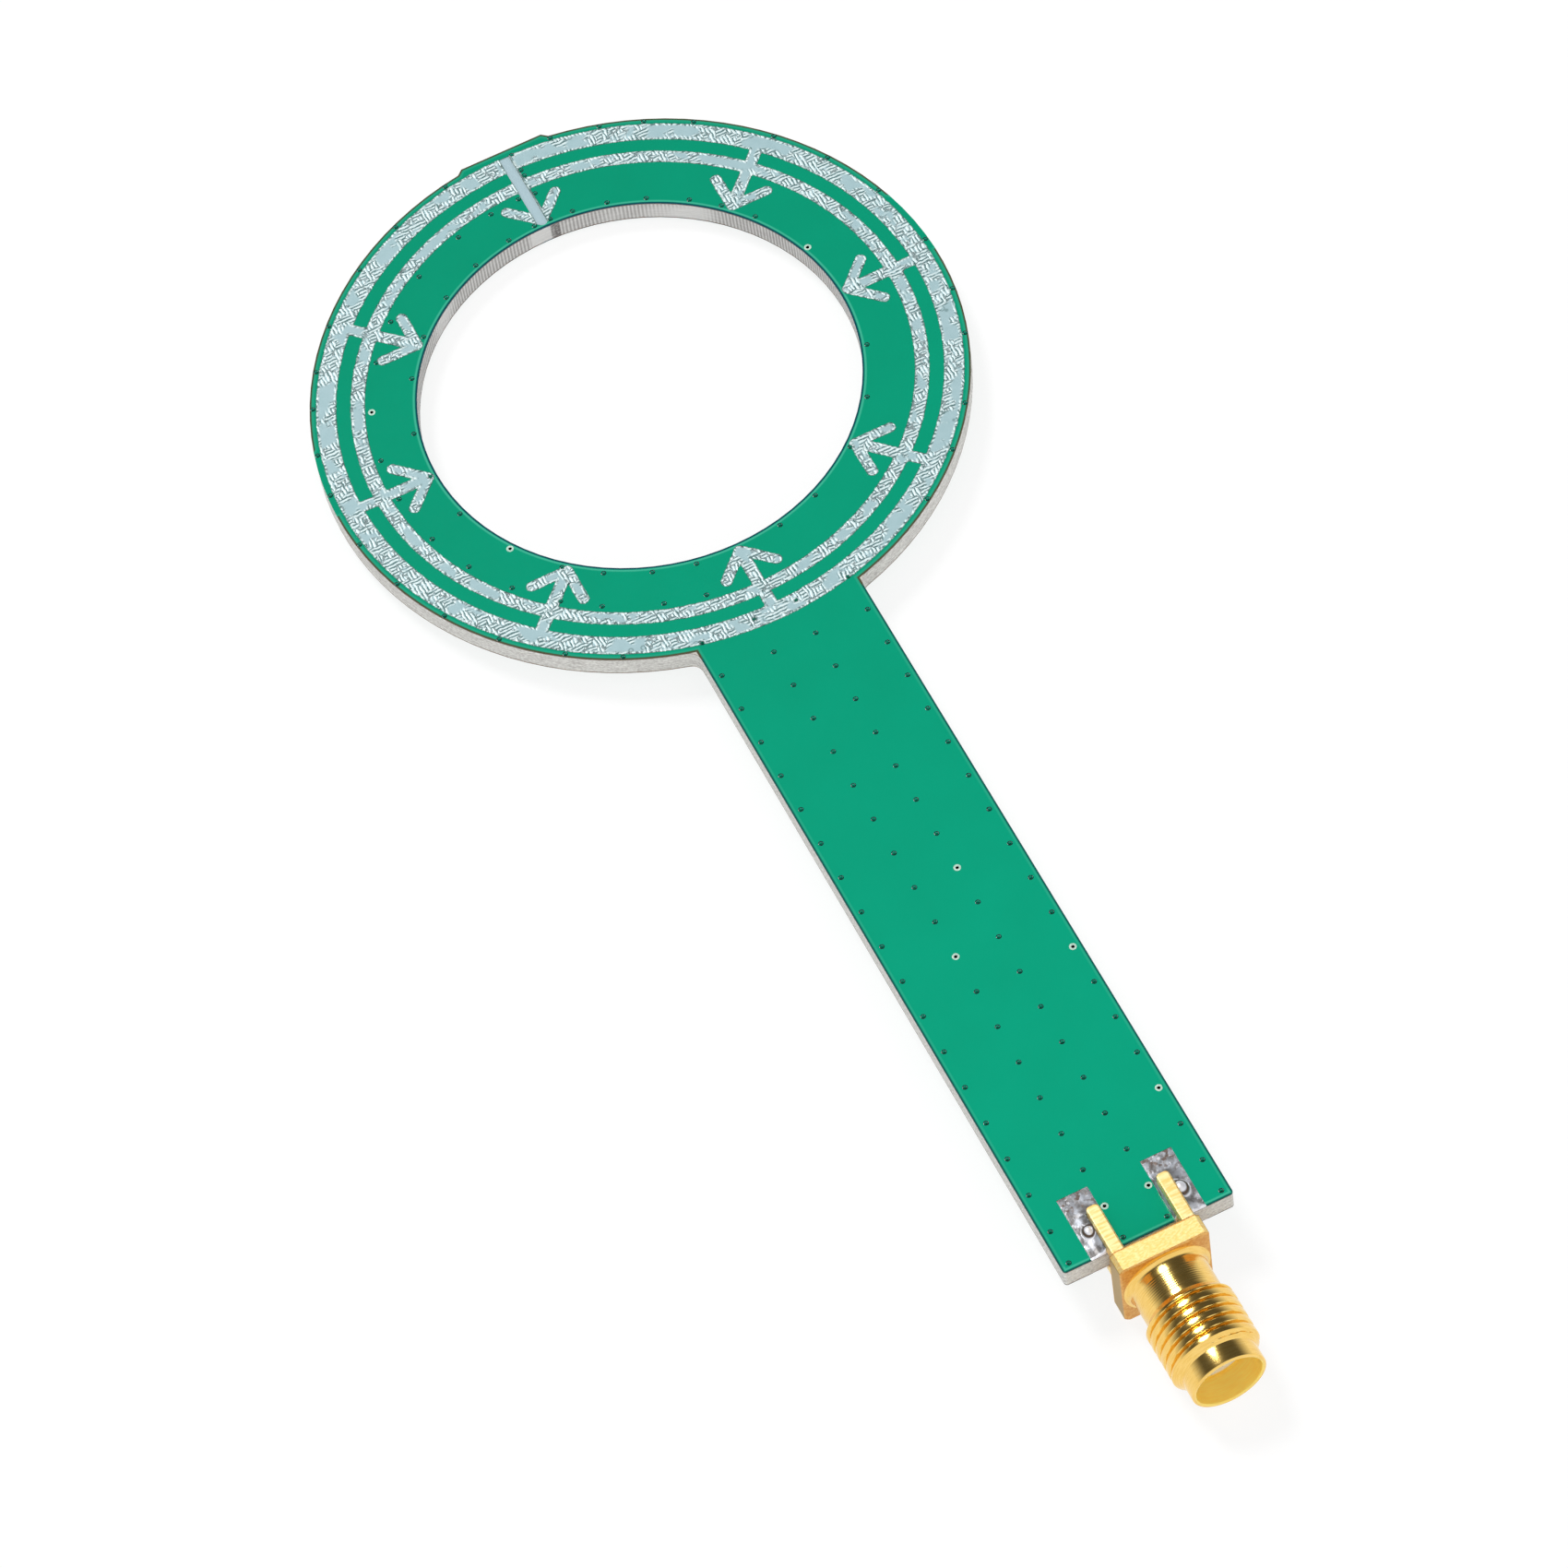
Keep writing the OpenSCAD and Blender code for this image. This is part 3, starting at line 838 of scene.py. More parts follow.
@dataclass(frozen=True)
class SolderFinish(Finish):
    """Mottled, partly oxidised solder: brighter towards the board's end, with painted glints and a painted
    highlight along the end's edge; the bead gets a painted highlight in a painted dark reflection ring,
    with painted highlight patches round it.
    """

    plan: BoardPlan
    dull: Colour = display(122, 119, 118)
    body: Colour = display(172, 176, 184)
    # Painted highlight colour, for the glints, the end's edge and the bead.
    bright: Colour = display(240, 241, 248)
    stain: Colour = display(108, 92, 84)
    # Painted reflection: the dark ring round the bead's highlight.
    ring: Colour = display(92, 74, 62)
    cloud_waves: Pair = (1.5, 4.0)
    cloud_band: Pair = (0.38, 0.62)
    stain_reach: Pair = (2.8, 4.4)
    stain_waves: float = 2.4
    stain_band: Pair = (0.5, 0.62)
    glint_waves: Pair = (3.2, 3.0)
    glint_band: Pair = (0.6, 0.7)
    glint_share: float = 0.7
    end_reach: Pair = (0.2, 2.6)
    end_band: Pair = (0.4, 0.7)
    end_share: float = 0.55
    wall_reach: Pair = (0.12, 0.2)
    halo_rise: Pair = (0.02, 0.1)
    halo_fall: Pair = (0.16, 0.24)
    halo_waves: float = 1.8
    halo_band: Pair = (0.34, 0.46)
    ring_rise: Pair = (0.2, 0.3)
    ring_fall: Pair = (0.4, 0.5)
    bead_band: Pair = (0.44, 0.56)
    metallic: float = 0.55
    roughness: float = 0.28
    haze: float = 0.3
    cloud_height: float = 0.012
    grit_waves: float = 9.0
    grit_height: float = 0.004

    def paint(self, sheet: Sheet) -> None:
        """Adds the solder's nodes.

        Args:
            sheet: The finish's empty sheet.
        """
        point = sheet.point()
        _, y, _ = sheet.parts(point)
        along = y - self.plan.end_y
        cloud = sheet.grain(point, *self.cloud_waves)
        colour = sheet.mix(cloud.step(*self.cloud_band), self.dull, self.body)
        stains = sheet.grain(point, self.stain_waves).step(*self.stain_band)
        colour = sheet.mix(along.step(*self.stain_reach) * stains, colour, self.stain)
        # Painted glints.
        glints = sheet.grain(point, *self.glint_waves).step(*self.glint_band)
        end = self.end_share * along.fall(*self.end_reach) * cloud.step(*self.end_band)
        colour = sheet.mix((self.glint_share * glints + end).low(1.0), colour, self.bright)
        # Painted highlight along the end's edge.
        colour = sheet.mix(along.fall(*self.wall_reach), colour, self.bright)
        bead = sheet.attribute("bead")
        # Painted highlight patches round the bead, a painted dark reflection ring and a painted highlight
        # in its middle.
        patches = sheet.grain(point, self.halo_waves).step(*self.halo_band)
        colour = sheet.mix(bead.between(self.halo_rise, self.halo_fall) * patches, colour, self.bright)
        colour = sheet.mix(bead.between(self.ring_rise, self.ring_fall), colour, self.ring)
        colour = sheet.mix(bead.step(*self.bead_band), colour, self.bright)
        grit = self.grit_height * sheet.grain(point, self.grit_waves)
        sheet.principled({
            "Base Color": colour,
            "Metallic": self.metallic,
            "Roughness": self.roughness + self.haze * cloud,
            "Normal": sheet.relief(self.cloud_height * cloud + grit),
        })


@dataclass(frozen=True)
class FloorFinish(Finish):
    """White table: it shows as white, keeps a soft shadow and throws light back as white paper does."""

    paper: Colour = (0.9, 0.9, 0.9, 1.0)
    shown: Colour = (0.19, 0.19, 0.19, 1.0)
    glow: float = 0.84

    def paint(self, sheet: Sheet) -> None:
        """Adds the floor's nodes.

        Args:
            sheet: The finish's empty sheet.
        """
        path = sheet.node("ShaderNodeLightPath", {}, {}).socket.node
        kinds = ("Is Camera Ray", "Is Glossy Ray", "Is Transmission Ray")
        camera, glossy, through = (Expr(sheet, path.outputs[kind]) for kind in kinds)
        plain = sheet.node("ShaderNodeBsdfDiffuse", {}, {"Color": self.paper})
        pale = sheet.node("ShaderNodeBsdfDiffuse", {}, {"Color": self.shown})
        light = sheet.node("ShaderNodeEmission", {}, {"Strength": self.glow})
        lit = sheet.node("ShaderNodeAddShader", {}, {0: pale, 1: light})
        direct = camera.high(glossy).high(through)
        sheet.surface(sheet.node("ShaderNodeMixShader", {}, {0: direct, 1: plain, 2: lit}))


class MeshSketch:
    """Points and faces of one mesh while it is drawn, in millimetres."""

    def __init__(self) -> None:
        """Starts empty."""
        self.points: list[Point] = []
        self.faces: list[tuple[int, ...]] = []
        self.finish_numbers: list[int] = []
        self.values: dict[str, list[float]] = {}

    def add_face(self, corners: Sequence[int], finish: int) -> None:
        """Adds one face by its points' numbers."""
        self.faces.append(tuple(corners))
        self.finish_numbers.append(finish)

    def add_loops(
        self,
        loops: Sequence[np.ndarray],
        finishes: Sequence[int],
        ring: bool = False,
        capped: bool = False,
    ) -> None:
        """Adds a skin over a row of loops that all have as many points.

        Args:
            loops: Arrays of points, each one closed loop.
            finishes: Number of the finish between each loop and the next.
            ring: Whether the last loop joins the first.
            capped: Whether the first and last loop are closed by a face.
        """
        start = len(self.points)
        count = len(loops[0])
        for loop in loops:
            self.points.extend(tuple(map(float, point)) for point in loop)
        last = len(loops) if ring else len(loops) - 1
        for row in range(last):
            here = start + row * count
            there = start + (row + 1) % len(loops) * count
            for k in range(count):
                after = (k + 1) % count
                self.add_face((here + k, here + after, there + after, there + k), finishes[row])
        if capped:
            end = start + (len(loops) - 1) * count
            self.add_face(range(start + count - 1, start - 1, -1), finishes[0])
            self.add_face(range(end, end + count), finishes[-1])

    def add_plate(
        self,
        contour: "Contour",
        tops: np.ndarray,
        bottom: float,
        face: Face,
        values: Mapping[str, np.ndarray],
    ) -> None:
        """Adds a closed plate with a relief on its outer face, as the sketch's only shape.

        Args:
            contour: The plate's outline, filled with cells.
            tops: Height of each of its points, away from the board's middle plane.
            bottom: Height of the plate's inner face.
            face: Face of the board that carries the plate.
            values: Mesh attributes by name, with a value for each of the contour's points.
        """
        count = len(contour.places)
        turn = slice(None, None, face.value)
        for heights in (tops, np.full(count, bottom)):
            for (x, y), height in zip(contour.places, heights):
                self.points.append((float(x), float(y), float(height) * face.value))
        for cell in contour.cells:
            self.add_face(cell[turn], 0)
            self.add_face([k + count for k in cell[::-1]][turn], 0)
        for a, b in contour.border():
            side = [count + a, count + b, b, a]
            self.add_face(side[turn], 0)
        for key, numbers in values.items():
            self.values[key] = [*numbers, *numbers]

    def piece(
        self,
        name: str,
        finishes: Sequence[Finish],
        replaced: Sequence[str] = (),
        sharp: float = 60.0,
    ) -> None:
        """Turns the sketch into a piece of the part.

        Args:
            name: Name of the piece.
            finishes: Finishes by number.
            replaced: CAD nodes that the piece stands for.
            sharp: Angle in degrees above which an edge is shaded sharp.
        """
        mesh = bpy.data.meshes.new(name)
        mesh.from_pydata([(x * MM, y * MM, z * MM) for x, y, z in self.points], [], self.faces)
        for finish in finishes:
            mesh.materials.append(finish.material())
        mesh.polygons.foreach_set("material_index", self.finish_numbers)
        mesh.shade_smooth()
        mesh.set_sharp_from_angle(angle=math.radians(sharp))
        for key, numbers in self.values.items():
            mesh.attributes.new(key, "FLOAT", "POINT").data.foreach_set("value", numbers)
        mesh.validate()
        made = add_object(name, mesh)
        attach(made, BODY)
        if replaced:
            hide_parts(*replaced)
        LOG.info("%s: %d faces, finish %s", name, len(mesh.polygons), finishes[0].name)


def smooth_step(values: np.ndarray, start: float, end: float) -> np.ndarray:
    """Smooth step from 0 at start to 1 at end, for arrays."""
    share = np.clip((values - start) / (end - start), 0.0, 1.0)
    return share * share * (3 - 2 * share)


def noise_layers(x: np.ndarray, y: np.ndarray, *layers: Point) -> np.ndarray:
    """Adds up layers of smooth noise.

    Args:
        x: X of each point.
        y: Y of each point.
        layers: Size of each layer, its waves in a millimetre and its slice through the noise.

    Returns:
        The sum at each point, in the shape of X.
    """
    found = np.zeros(x.shape)
    for size, waves, level in layers:
        flat = zip(x.ravel() * waves, y.ravel() * waves)
        values = np.array([noise.noise(Vector((a, b, level))) for a, b in flat])
        found = found + size * values.reshape(x.shape)
    return found


class Contour:
    """Cells of a grid inside an outline, with the cells on the outline cut to it."""

    def __init__(self, x: np.ndarray, y: np.ndarray, depth: np.ndarray, wrap: bool) -> None:
        """Cuts the grid.

        Args:
            x: X of the grid's points, by row and column.
            y: Y of the grid's points.
            depth: Distance of each point from the outline, positive inside.
            wrap: Whether the last column joins the first.
        """
        self.x, self.y, self.depth = x, y, depth
        self.numbers: dict[tuple[int, ...], int] = {}
        self.places: list[Pair] = []
        self.depths: list[float] = []
        self.cells: list[list[int]] = []
        rows, columns = depth.shape
        for i in range(rows - 1):
            for j in range(columns if wrap else columns - 1):
                after = (j + 1) % columns
                self.cut([(i, j), (i + 1, j), (i + 1, after), (i, after)])

    def cut(self, corners: Sequence[tuple[int, int]]) -> None:
        """Adds what lies inside of one cell.

        Args:
            corners: Row and column of the cell's corners, in turn.
        """
        inside = [self.depth[corner] > 0 for corner in corners]
        if not any(inside):
            return
        cell: list[int] = []
        for k, corner in enumerate(corners):
            following = (k + 1) % len(corners)
            if inside[k]:
                cell.append(self.number(corner, corner))
            if inside[k] != inside[following]:
                cell.append(self.number(*sorted((corner, corners[following]))))
        self.cells.append(cell)

    def number(self, first: tuple[int, int], second: tuple[int, int]) -> int:
        """Gives the number of a grid point, or of the point where a grid edge crosses the outline.

        Args:
            first: One end of the grid edge.
            second: Its other end, or the same point.

        Returns:
            The number, new if the point is new.
        """
        key = (*first, *second)
        if key not in self.numbers:
            near, far = self.depth[first], self.depth[second]
            share = 0.0
            if first != second:
                share = float(np.clip(near / (near - far), CUT_MARGIN, 1 - CUT_MARGIN))
            self.numbers[key] = len(self.places)
            axes = (self.x, self.y)
            self.places.append(tuple((1 - share) * a[first] + share * a[second] for a in axes))
            self.depths.append(float(near) if first == second else 0.0)
        return self.numbers[key]

    def border(self) -> list[tuple[int, int]]:
        """Outline's edges as pairs of point numbers, with the inside on the left."""
        edges = {(cell[k - 1], cell[k]) for cell in self.cells for k in range(len(cell))}
        return sorted((a, b) for a, b in edges if (b, a) not in edges)

    def columns(self) -> np.ndarray:
        """X and Y of all points, each as one array."""
        return np.array(self.places).T

    def edge(self, width: float) -> np.ndarray:
        """Smooth step at each point from 0 on the outline to 1 at a width from it."""
        return smooth_step(np.array(self.depths), 0.0, width)

    def sample(self, *layers: Point) -> np.ndarray:
        """Sum of layers of smooth noise at each point."""
        return noise_layers(*self.columns(), *layers)


def pad_grid(node: str, step: float) -> tuple[np.ndarray, np.ndarray, np.ndarray]:
    """Lays a grid over a rectangular pad.

    Args:
        node: CAD node of the pad.
        step: Width of the grid's cells.

    Returns:
        X, Y and the depth inside the pad at the grid's points.
    """
    low, high = node_box(node)
    xs = np.arange(low.x - step, high.x + 2 * step, step)
    ys = np.arange(low.y - step, high.y + 2 * step, step)
    x, y = np.meshgrid(xs, ys, indexing="ij")
    depth = np.minimum(np.minimum(x - low.x, high.x - x), np.minimum(y - low.y, high.y - y))
    return x, y, depth


def quarter_round(steps: int) -> list[Pair]:
    """Points of a quarter round from (0, 1) to (1, 0), as shares of its radius."""
    return [(1 - math.cos(turn), 1 - math.sin(turn)) for turn in np.linspace(0.0, QUARTER, steps)]


def centres(node: str) -> list[Pair]:
    """Finds the separate round bodies of a CAD node.

    Args:
        node: Name of the node.

    Returns:
        X and Y of each body's middle, in millimetres, in order of X and Y.
    """
    grid = bmesh.new()
    grid.from_mesh(frame["nodes"][node].data)
    bmesh.ops.remove_doubles(grid, verts=grid.verts, dist=WELD_REACH * MM)
    found = []
    waiting = set(grid.verts)
    while waiting:
        front = [waiting.pop()]
        body = []
        while front:
            vert = front.pop()
            body.append(vert.co)
            linked = {edge.other_vert(vert) for edge in vert.link_edges} & waiting
            waiting -= linked
            front.extend(linked)
        spans = [(min(co[axis] for co in body), max(co[axis] for co in body)) for axis in (0, 1)]
        found.append(tuple(round(sum(span) / 2 * PER_METRE, 4) for span in spans))
    grid.free()
    return sorted(found)


def paint_node(node: str, finish: Finish) -> None:
    """Gives a CAD node its finish.

    Args:
        node: Name of the node.
        finish: The finish.
    """
    shown = frame["nodes"][node]
    if not shown.material_slots:
        shown.data.materials.append(None)
    for slot in shown.material_slots:
        slot.material = finish.material()
    LOG.info("%s: solid kept, finish %s", node, finish.name)


@dataclass
class Board:
    """Laminate, copper, masks and vias: the solids keep their form and get their finishes.

    The profile of the lips gives radii, and heights over the mask's face, from inside the hole outwards.
    """

    plan: BoardPlan
    lip_sides: int = 14
    lip_profile: tuple[Pair, ...] = (
        (0.115, -0.45),
        (0.115, -0.004),
        (0.135, 0.0084),
        (0.15, 0.012),
        (0.175, 0.0054),
        (0.2, -0.004),
        (0.17, -0.05),
    )
    plating: Finish = GrainFinish(
        "via_plating_finish",
        body=display(72, 64, 54),
        shade=display(40, 36, 32),
        roughness=0.4,
        spread=0.2,
        relief=0.003,
    )
    # Painted shade: the lips' mask is a dark teal, far darker than the mask, for the shade round each via's
    # hole.
    lip: Finish = GrainFinish(
        "via_lip_finish",
        body=display(4, 72, 64),
        shade=display(0, 50, 46),
        metallic=0.0,
        roughness=0.14,
        spread=0.06,
        marks=(5.0, 5.0, 5.0),
        relief=0.002,
    )
    sleeve: Finish = GrainFinish(
        "via_sleeve_finish",
        body=display(56, 200, 172),
        shade=display(26, 168, 142),
        metallic=0.0,
        roughness=0.3,
        relief=0.002,
    )
    land: Finish = GrainFinish(
        "via_land_finish",
        body=display(220, 240, 226),
        shade=display(168, 210, 192),
        metallic=0.1,
        roughness=0.3,
        relief=0.004,
    )

    def dress(self) -> None:
        """Gives every board solid its finish."""
        copper = CopperFinish("copper_finish", self.plan)
        finishes = {
            "laminate": LaminateFinish("laminate_finish", self.plan),
            "top_copper": copper,
            "bottom_copper": copper,
            "via_barrels": self.plating,
            "top_mask": MaskFinish("top_mask_finish", self.plan, Face.TOP),
            "bottom_mask": MaskFinish("bottom_mask_finish", self.plan, Face.BOTTOM),
            "tinned_via_lands": self.land,
        }
        for node, finish in finishes.items():
            paint_node(node, finish)

    def lip_loops(self, x: float, y: float, face: Face) -> list[np.ndarray]:
        """Draws the mask's lip round one via.

        Args:
            x: X of the via.
            y: Y of the via.
            face: Face of the board.

        Returns:
            Loops from inside the hole outwards and back under the mask's face.
        """
        turns = np.arange(self.lip_sides) * (TURN / self.lip_sides) * face.value
        loops = []
        for radius, rise in self.lip_profile:
            z = np.full(self.lip_sides, (self.plan.mask_top + rise) * face.value)
            loops.append(np.stack([x + radius * np.cos(turns), y + radius * np.sin(turns), z], axis=1))
        return loops

    def build_lips(self) -> None:
        """Builds the raised lips of mask round the covered vias, on both faces, with painted shade on their
        rims.
        """
        bare = set(centres("tinned_via_lands"))
        covered = [place for place in centres("via_barrels") if place not in bare]
        numbers = [Lip.SLEEVE] + [Lip.RIM] * (len(self.lip_profile) - 1)
        for face in Face:
            sketch = MeshSketch()
            for x, y in covered:
                sketch.add_loops(self.lip_loops(x, y, face), numbers, ring=True)
            sketch.piece(f"via_lips_{face.name.lower()}", [self.lip, self.sleeve])


@dataclass
class TinArtwork:
    """Tin in the windows of the top mask: two bands and eight arrows, rippled as it froze.

    A band is given by its inset from the ring's edge and its width.
    """

    plan: BoardPlan
    outer_band: Pair = (0.43, 1.4)
    inner_band: Pair = (2.8, 1.0)
    arrow_shifts: tuple[float, ...] = (0.0, -1.15, 0.0, 1.05, 0.0, 0.55, 0.0, -0.85)
    stem_half: float = 0.45
    stroke_half: float = 0.4
    head_reach: float = 1.85
    tip_inset: float = 0.62
    gap_left: float = -0.42
    gap_right: float = 0.32
    via_bore: float = 0.24
    ragged: tuple[Point, ...] = ((0.045, 2.8, 3.0), (0.02, 5.2, 8.0))
    grid_step: float = 0.11
    grid_middle: float = 0.86
    lake_layers: tuple[Point, ...] = ((1.0, 0.75, 1.5), (0.35, 2.0, 6.5))
    lake_edge: Pair = (0.06, 0.24)
    lake_level: float = 0.25
    cell_scale: float = 2.4
    cell_skew: Pair = (0.8, -0.5)
    cell_half: float = 0.5
    ripple: float = 0.012
    ripple_base: float = 0.25
    rim_width: float = 0.16
    swell: Point = (0.004, 1.6, 9.0)
    sharp: float = 75.0

    def band(self, radius: np.ndarray, inset: float, width: float) -> np.ndarray:
        """Depth inside a band, at each point's distance from the loop's centre."""
        outer = self.plan.ring_radius - inset
        return np.minimum(outer - radius, radius - outer + width)

    def arrow(self, along: np.ndarray, across: np.ndarray) -> np.ndarray:
        """Depth inside one arrow.

        Args:
            along: Distance from the loop's centre, along the stem.
            across: Distance from the stem's middle line.

        Returns:
            The distance from the arrow's edges, positive inside.
        """
        tip = self.plan.loop_radius + self.tip_inset
        inset, width = self.outer_band
        stem_end = self.plan.ring_radius - inset - width / 2
        stem = np.minimum(np.minimum(along - tip, stem_end - along), self.stem_half - np.abs(across))
        share = np.clip((along - tip + np.abs(across)) / (2 * self.head_reach), 0.0, 1.0)
        reach = share * self.head_reach
        stroke = self.stroke_half - np.hypot(along - tip - reach, np.abs(across) - reach)
        return np.maximum(stem, stroke)

    def depth(self, x: np.ndarray, y: np.ndarray) -> np.ndarray:
        """Depth inside the whole artwork.

        Args:
            x: X of each point.
            y: Y of each point.

        Returns:
            The distance from the artwork's edges, positive inside.
        """
        radius = np.hypot(x, y)
        found = np.maximum(self.band(radius, *self.outer_band), self.band(radius, *self.inner_band))
        for k, shift in enumerate(self.arrow_shifts):
            angle = TURN * k / len(self.arrow_shifts)
            along = x * math.cos(angle) + y * math.sin(angle)
            across = y * math.cos(angle) - x * math.sin(angle)
            found = np.maximum(found, self.arrow(along, across - shift))
        found = found + noise_layers(x, y, *self.ragged)
        gap = np.maximum(self.gap_left - x, x - self.gap_right)
        found = np.where(y > 0, np.minimum(found, gap), found)
        for via_x, via_y in centres("via_barrels"):
            found = np.minimum(found, np.hypot(x - via_x, y - via_y) - self.via_bore / 2)
        return found

    def crystals(self, contour: Contour) -> np.ndarray:
        """Height of the crystals in the frozen tin.

        Args:
            contour: The artwork's filled outline.

        Returns:
            Values at its points, from 0 at the crystals' joints to 1.
        """
        found = []
        for x, y in contour.places:
            skew_x = x * self.cell_scale + self.cell_skew[0] * y
            skew_y = y * self.cell_scale + self.cell_skew[1] * x
            near, far = noise.voronoi(Vector((skew_x, skew_y, 0.0)))[0][:2]
            found.append(min(far - near, self.cell_half) / self.cell_half)
        return np.array(found)

    def build(self) -> None:
        """Builds the rippled tin and its finish."""
        plan = self.plan
        inner = plan.loop_radius + self.tip_inset - 2 * self.stroke_half
        radii = np.arange(inner, plan.ring_radius, self.grid_step)
        count = round(TURN * plan.ring_radius * self.grid_middle / self.grid_step)
        angles = np.arange(count) * (TURN / count)
        x = radii[:, None] * np.cos(angles)
        y = radii[:, None] * np.sin(angles)
        contour = Contour(x, y, self.depth(x, y), wrap=True)
        lake = smooth_step(contour.sample(*self.lake_layers), *self.lake_edge)
        crackle = self.crystals(contour) * (1 - lake) + self.lake_level * lake
        relief = contour.edge(self.rim_width) * self.ripple * (self.ripple_base + crackle)
        tops = plan.tin_top + relief + contour.sample(self.swell)
        values = {"rim": np.array(contour.depths), "lake": lake}
        sketch = MeshSketch()
        sketch.add_plate(contour, tops, plan.copper_top, Face.TOP, values)
        finish = TinFinish("loop_tin_finish")
        sketch.piece("tin_artwork", [finish], ["tinned_loop"], self.sharp)


@dataclass
class EdgeSocket:
    """Coaxial edge socket: flange with four legs, neck, thread and mouth, insulator and contact."""

    axis_z: float
    back_y: float
    mouth_y: float
    thread_radius: float
    bore_radius: float
    seat_z: float
    flange_side: float = 6.3
    flange_chamfer: float = 0.3
    flange_thickness: float = 1.6
    flange_bevel: float = 0.12
    leg_spacing: float = 4.94
    leg_width: float = 0.92
    leg_length: float = 3.7
    leg_tip_radius: float = 0.3
    leg_tip_steps: int = 6
    leg_bevel: float = 0.09
    leg_bevel_steps: int = 4
    leg_drop: float = 0.07
    flat_margin: float = 0.04
    neck_radius: float = 2.65
    neck_length: float = 2.6
    neck_fillet: float = 0.4
    fillet_steps: int = 7
    thread_pitch: float = 0.7056
    thread_depth: float = 0.3
    thread_length: float = 4.5
    thread_steps: int = 20
    crest_round: float = 0.5
    groove_share: float = 0.875
    groove_band: Pair = (0.29, 0.5)
    start_cone: float = 0.9
    end_cone: float = 1.1
    root_cone: float = 0.4
    mouth_radius: float = 2.6
    mouth_round: float = 0.12
    edge_steps: int = 5
    bore_depth: float = 1.95
    seat_radius: float = 2.05
    sides: int = 112
    turned_from: float = 0.85
    turned_to: float = 2.3
    turned_pitch: float = 0.16
    turned_height: float = 0.004
    turned_steps: int = 8
    sharp: float = 34.0
    satin: Finish = FlangeFinish(
        "satin_gold_finish",
        body=display(255, 234, 168),
        shade=display(252, 206, 116),
        # Painted shade on the flange's side walls.
        wall=display(184, 156, 104),
        shaded_side_x=flange_side / 2,
        roughness=0.5,
        spread=0.12,
        marks=(4.0, 9.0, 9.0),
        relief=0.008,
    )
    brushed: Finish = GrainFinish(
        "leg_gold_finish",
        body=display(255, 240, 184),
        shade=display(250, 200, 112),
        roughness=0.5,
        spread=0.16,
        marks=(1.0, 5.0, 1.0),
        relief=0.01,
    )
    polished: Finish = GrainFinish(
        "turned_gold_finish",
        body=display(250, 212, 126),
        shade=display(240, 196, 102),
        roughness=0.17,
        spread=0.06,
        marks=(1.2, 16.0, 1.2),
        relief=0.001,
    )
    bored: Finish = GrainFinish(
        "bore_gold_finish",
        body=display(255, 230, 120),
        shade=display(255, 218, 106),
        metallic=0.38,
        roughness=0.38,
        marks=(1.2, 12.0, 1.2),
        relief=0.002,
    )
    # Painted shade: gold darker than the satin, with its own marks, on the flange's front face and its
    # rounded edges.
    faced: Finish = GrainFinish(
        "faced_gold_finish",
        body=display(236, 190, 116),
        shade=display(216, 154, 80),
        roughness=0.48,
        marks=(6.0, 1.0, 6.0),
        relief=0.004,
    )
    fluoropolymer: Finish = GrainFinish(
        "insulator_finish",
        body=display(240, 238, 232),
        shade=display(222, 218, 208),
        metallic=0.0,
        roughness=0.45,
        marks=(3.0, 3.0, 3.0),
        relief=0.004,
    )

    @classmethod
    def from_frame(cls, plan: BoardPlan) -> "EdgeSocket":
        """Reads the socket's places from the frame.

        Args:
            plan: The board's plan.

        Returns:
            The socket, in millimetres.
        """
        bore = mount("socket_bore")
        return cls(
            axis_z=bore["pos_m"][2] * PER_METRE,
            back_y=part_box("connector_insulator")[1].y * PER_METRE,
            mouth_y=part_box("connector_shell")[0].y * PER_METRE,
            thread_radius=mount("coupling_thread")["dims"]["r_mm"],
            bore_radius=bore["dims"]["r_mm"],
            seat_z=plan.tin_top,
        )

    def leg_x(self, side: Side) -> float:
        """X of a leg's middle line."""
        return side.value * self.leg_spacing / 2

    def leg_tip_y(self) -> float:
        """Y of the legs' tips."""
        return self.back_y + self.leg_length

    def loop(self, radii: np.ndarray | float, along: float) -> np.ndarray:
        """Draws one loop round the socket's axis.

        Args:
            radii: Radius at each angle, or one for all.
            along: Distance in front of the flange's front face.

        Returns:
            The loop's points.
        """
        angles = self.angles()
        radii = np.broadcast_to(radii, angles.shape)
        y = np.full(angles.shape, self.back_y - self.flange_thickness - along)
        return np.stack([radii * np.cos(angles), y, self.axis_z + radii * np.sin(angles)], axis=1)

    def angles(self) -> np.ndarray:
        """Angles of the loops' points, with the flange's corners among them.

        Returns:
            Angles in radians, from 0 up.
        """
        half = self.flange_side / 2
        corner = math.atan2(half - self.flange_chamfer, half)
        fixed = {k * QUARTER + turn for k in range(4) for turn in (corner, QUARTER - corner)}
        even = {TURN * k / self.sides for k in range(self.sides)}
        apart = TURN / self.sides / 2
        return np.array(sorted(fixed | {a for a in even if min(abs(a - b) for b in fixed) > apart}))

    def flange_outline(self, inset: float) -> np.ndarray:
        """Finds the radius of the flange's chamfered square, moved inwards.

        Args:
            inset: Way that it is moved.

        Returns:
            The radius at each angle.
        """
        cosine, sine = np.abs(np.cos(self.angles())), np.abs(np.sin(self.angles()))
        half = self.flange_side / 2 - inset
        corner = self.flange_side - self.flange_chamfer - inset * math.sqrt(2)
        return np.minimum(half / np.maximum(cosine, sine), corner / (cosine + sine))

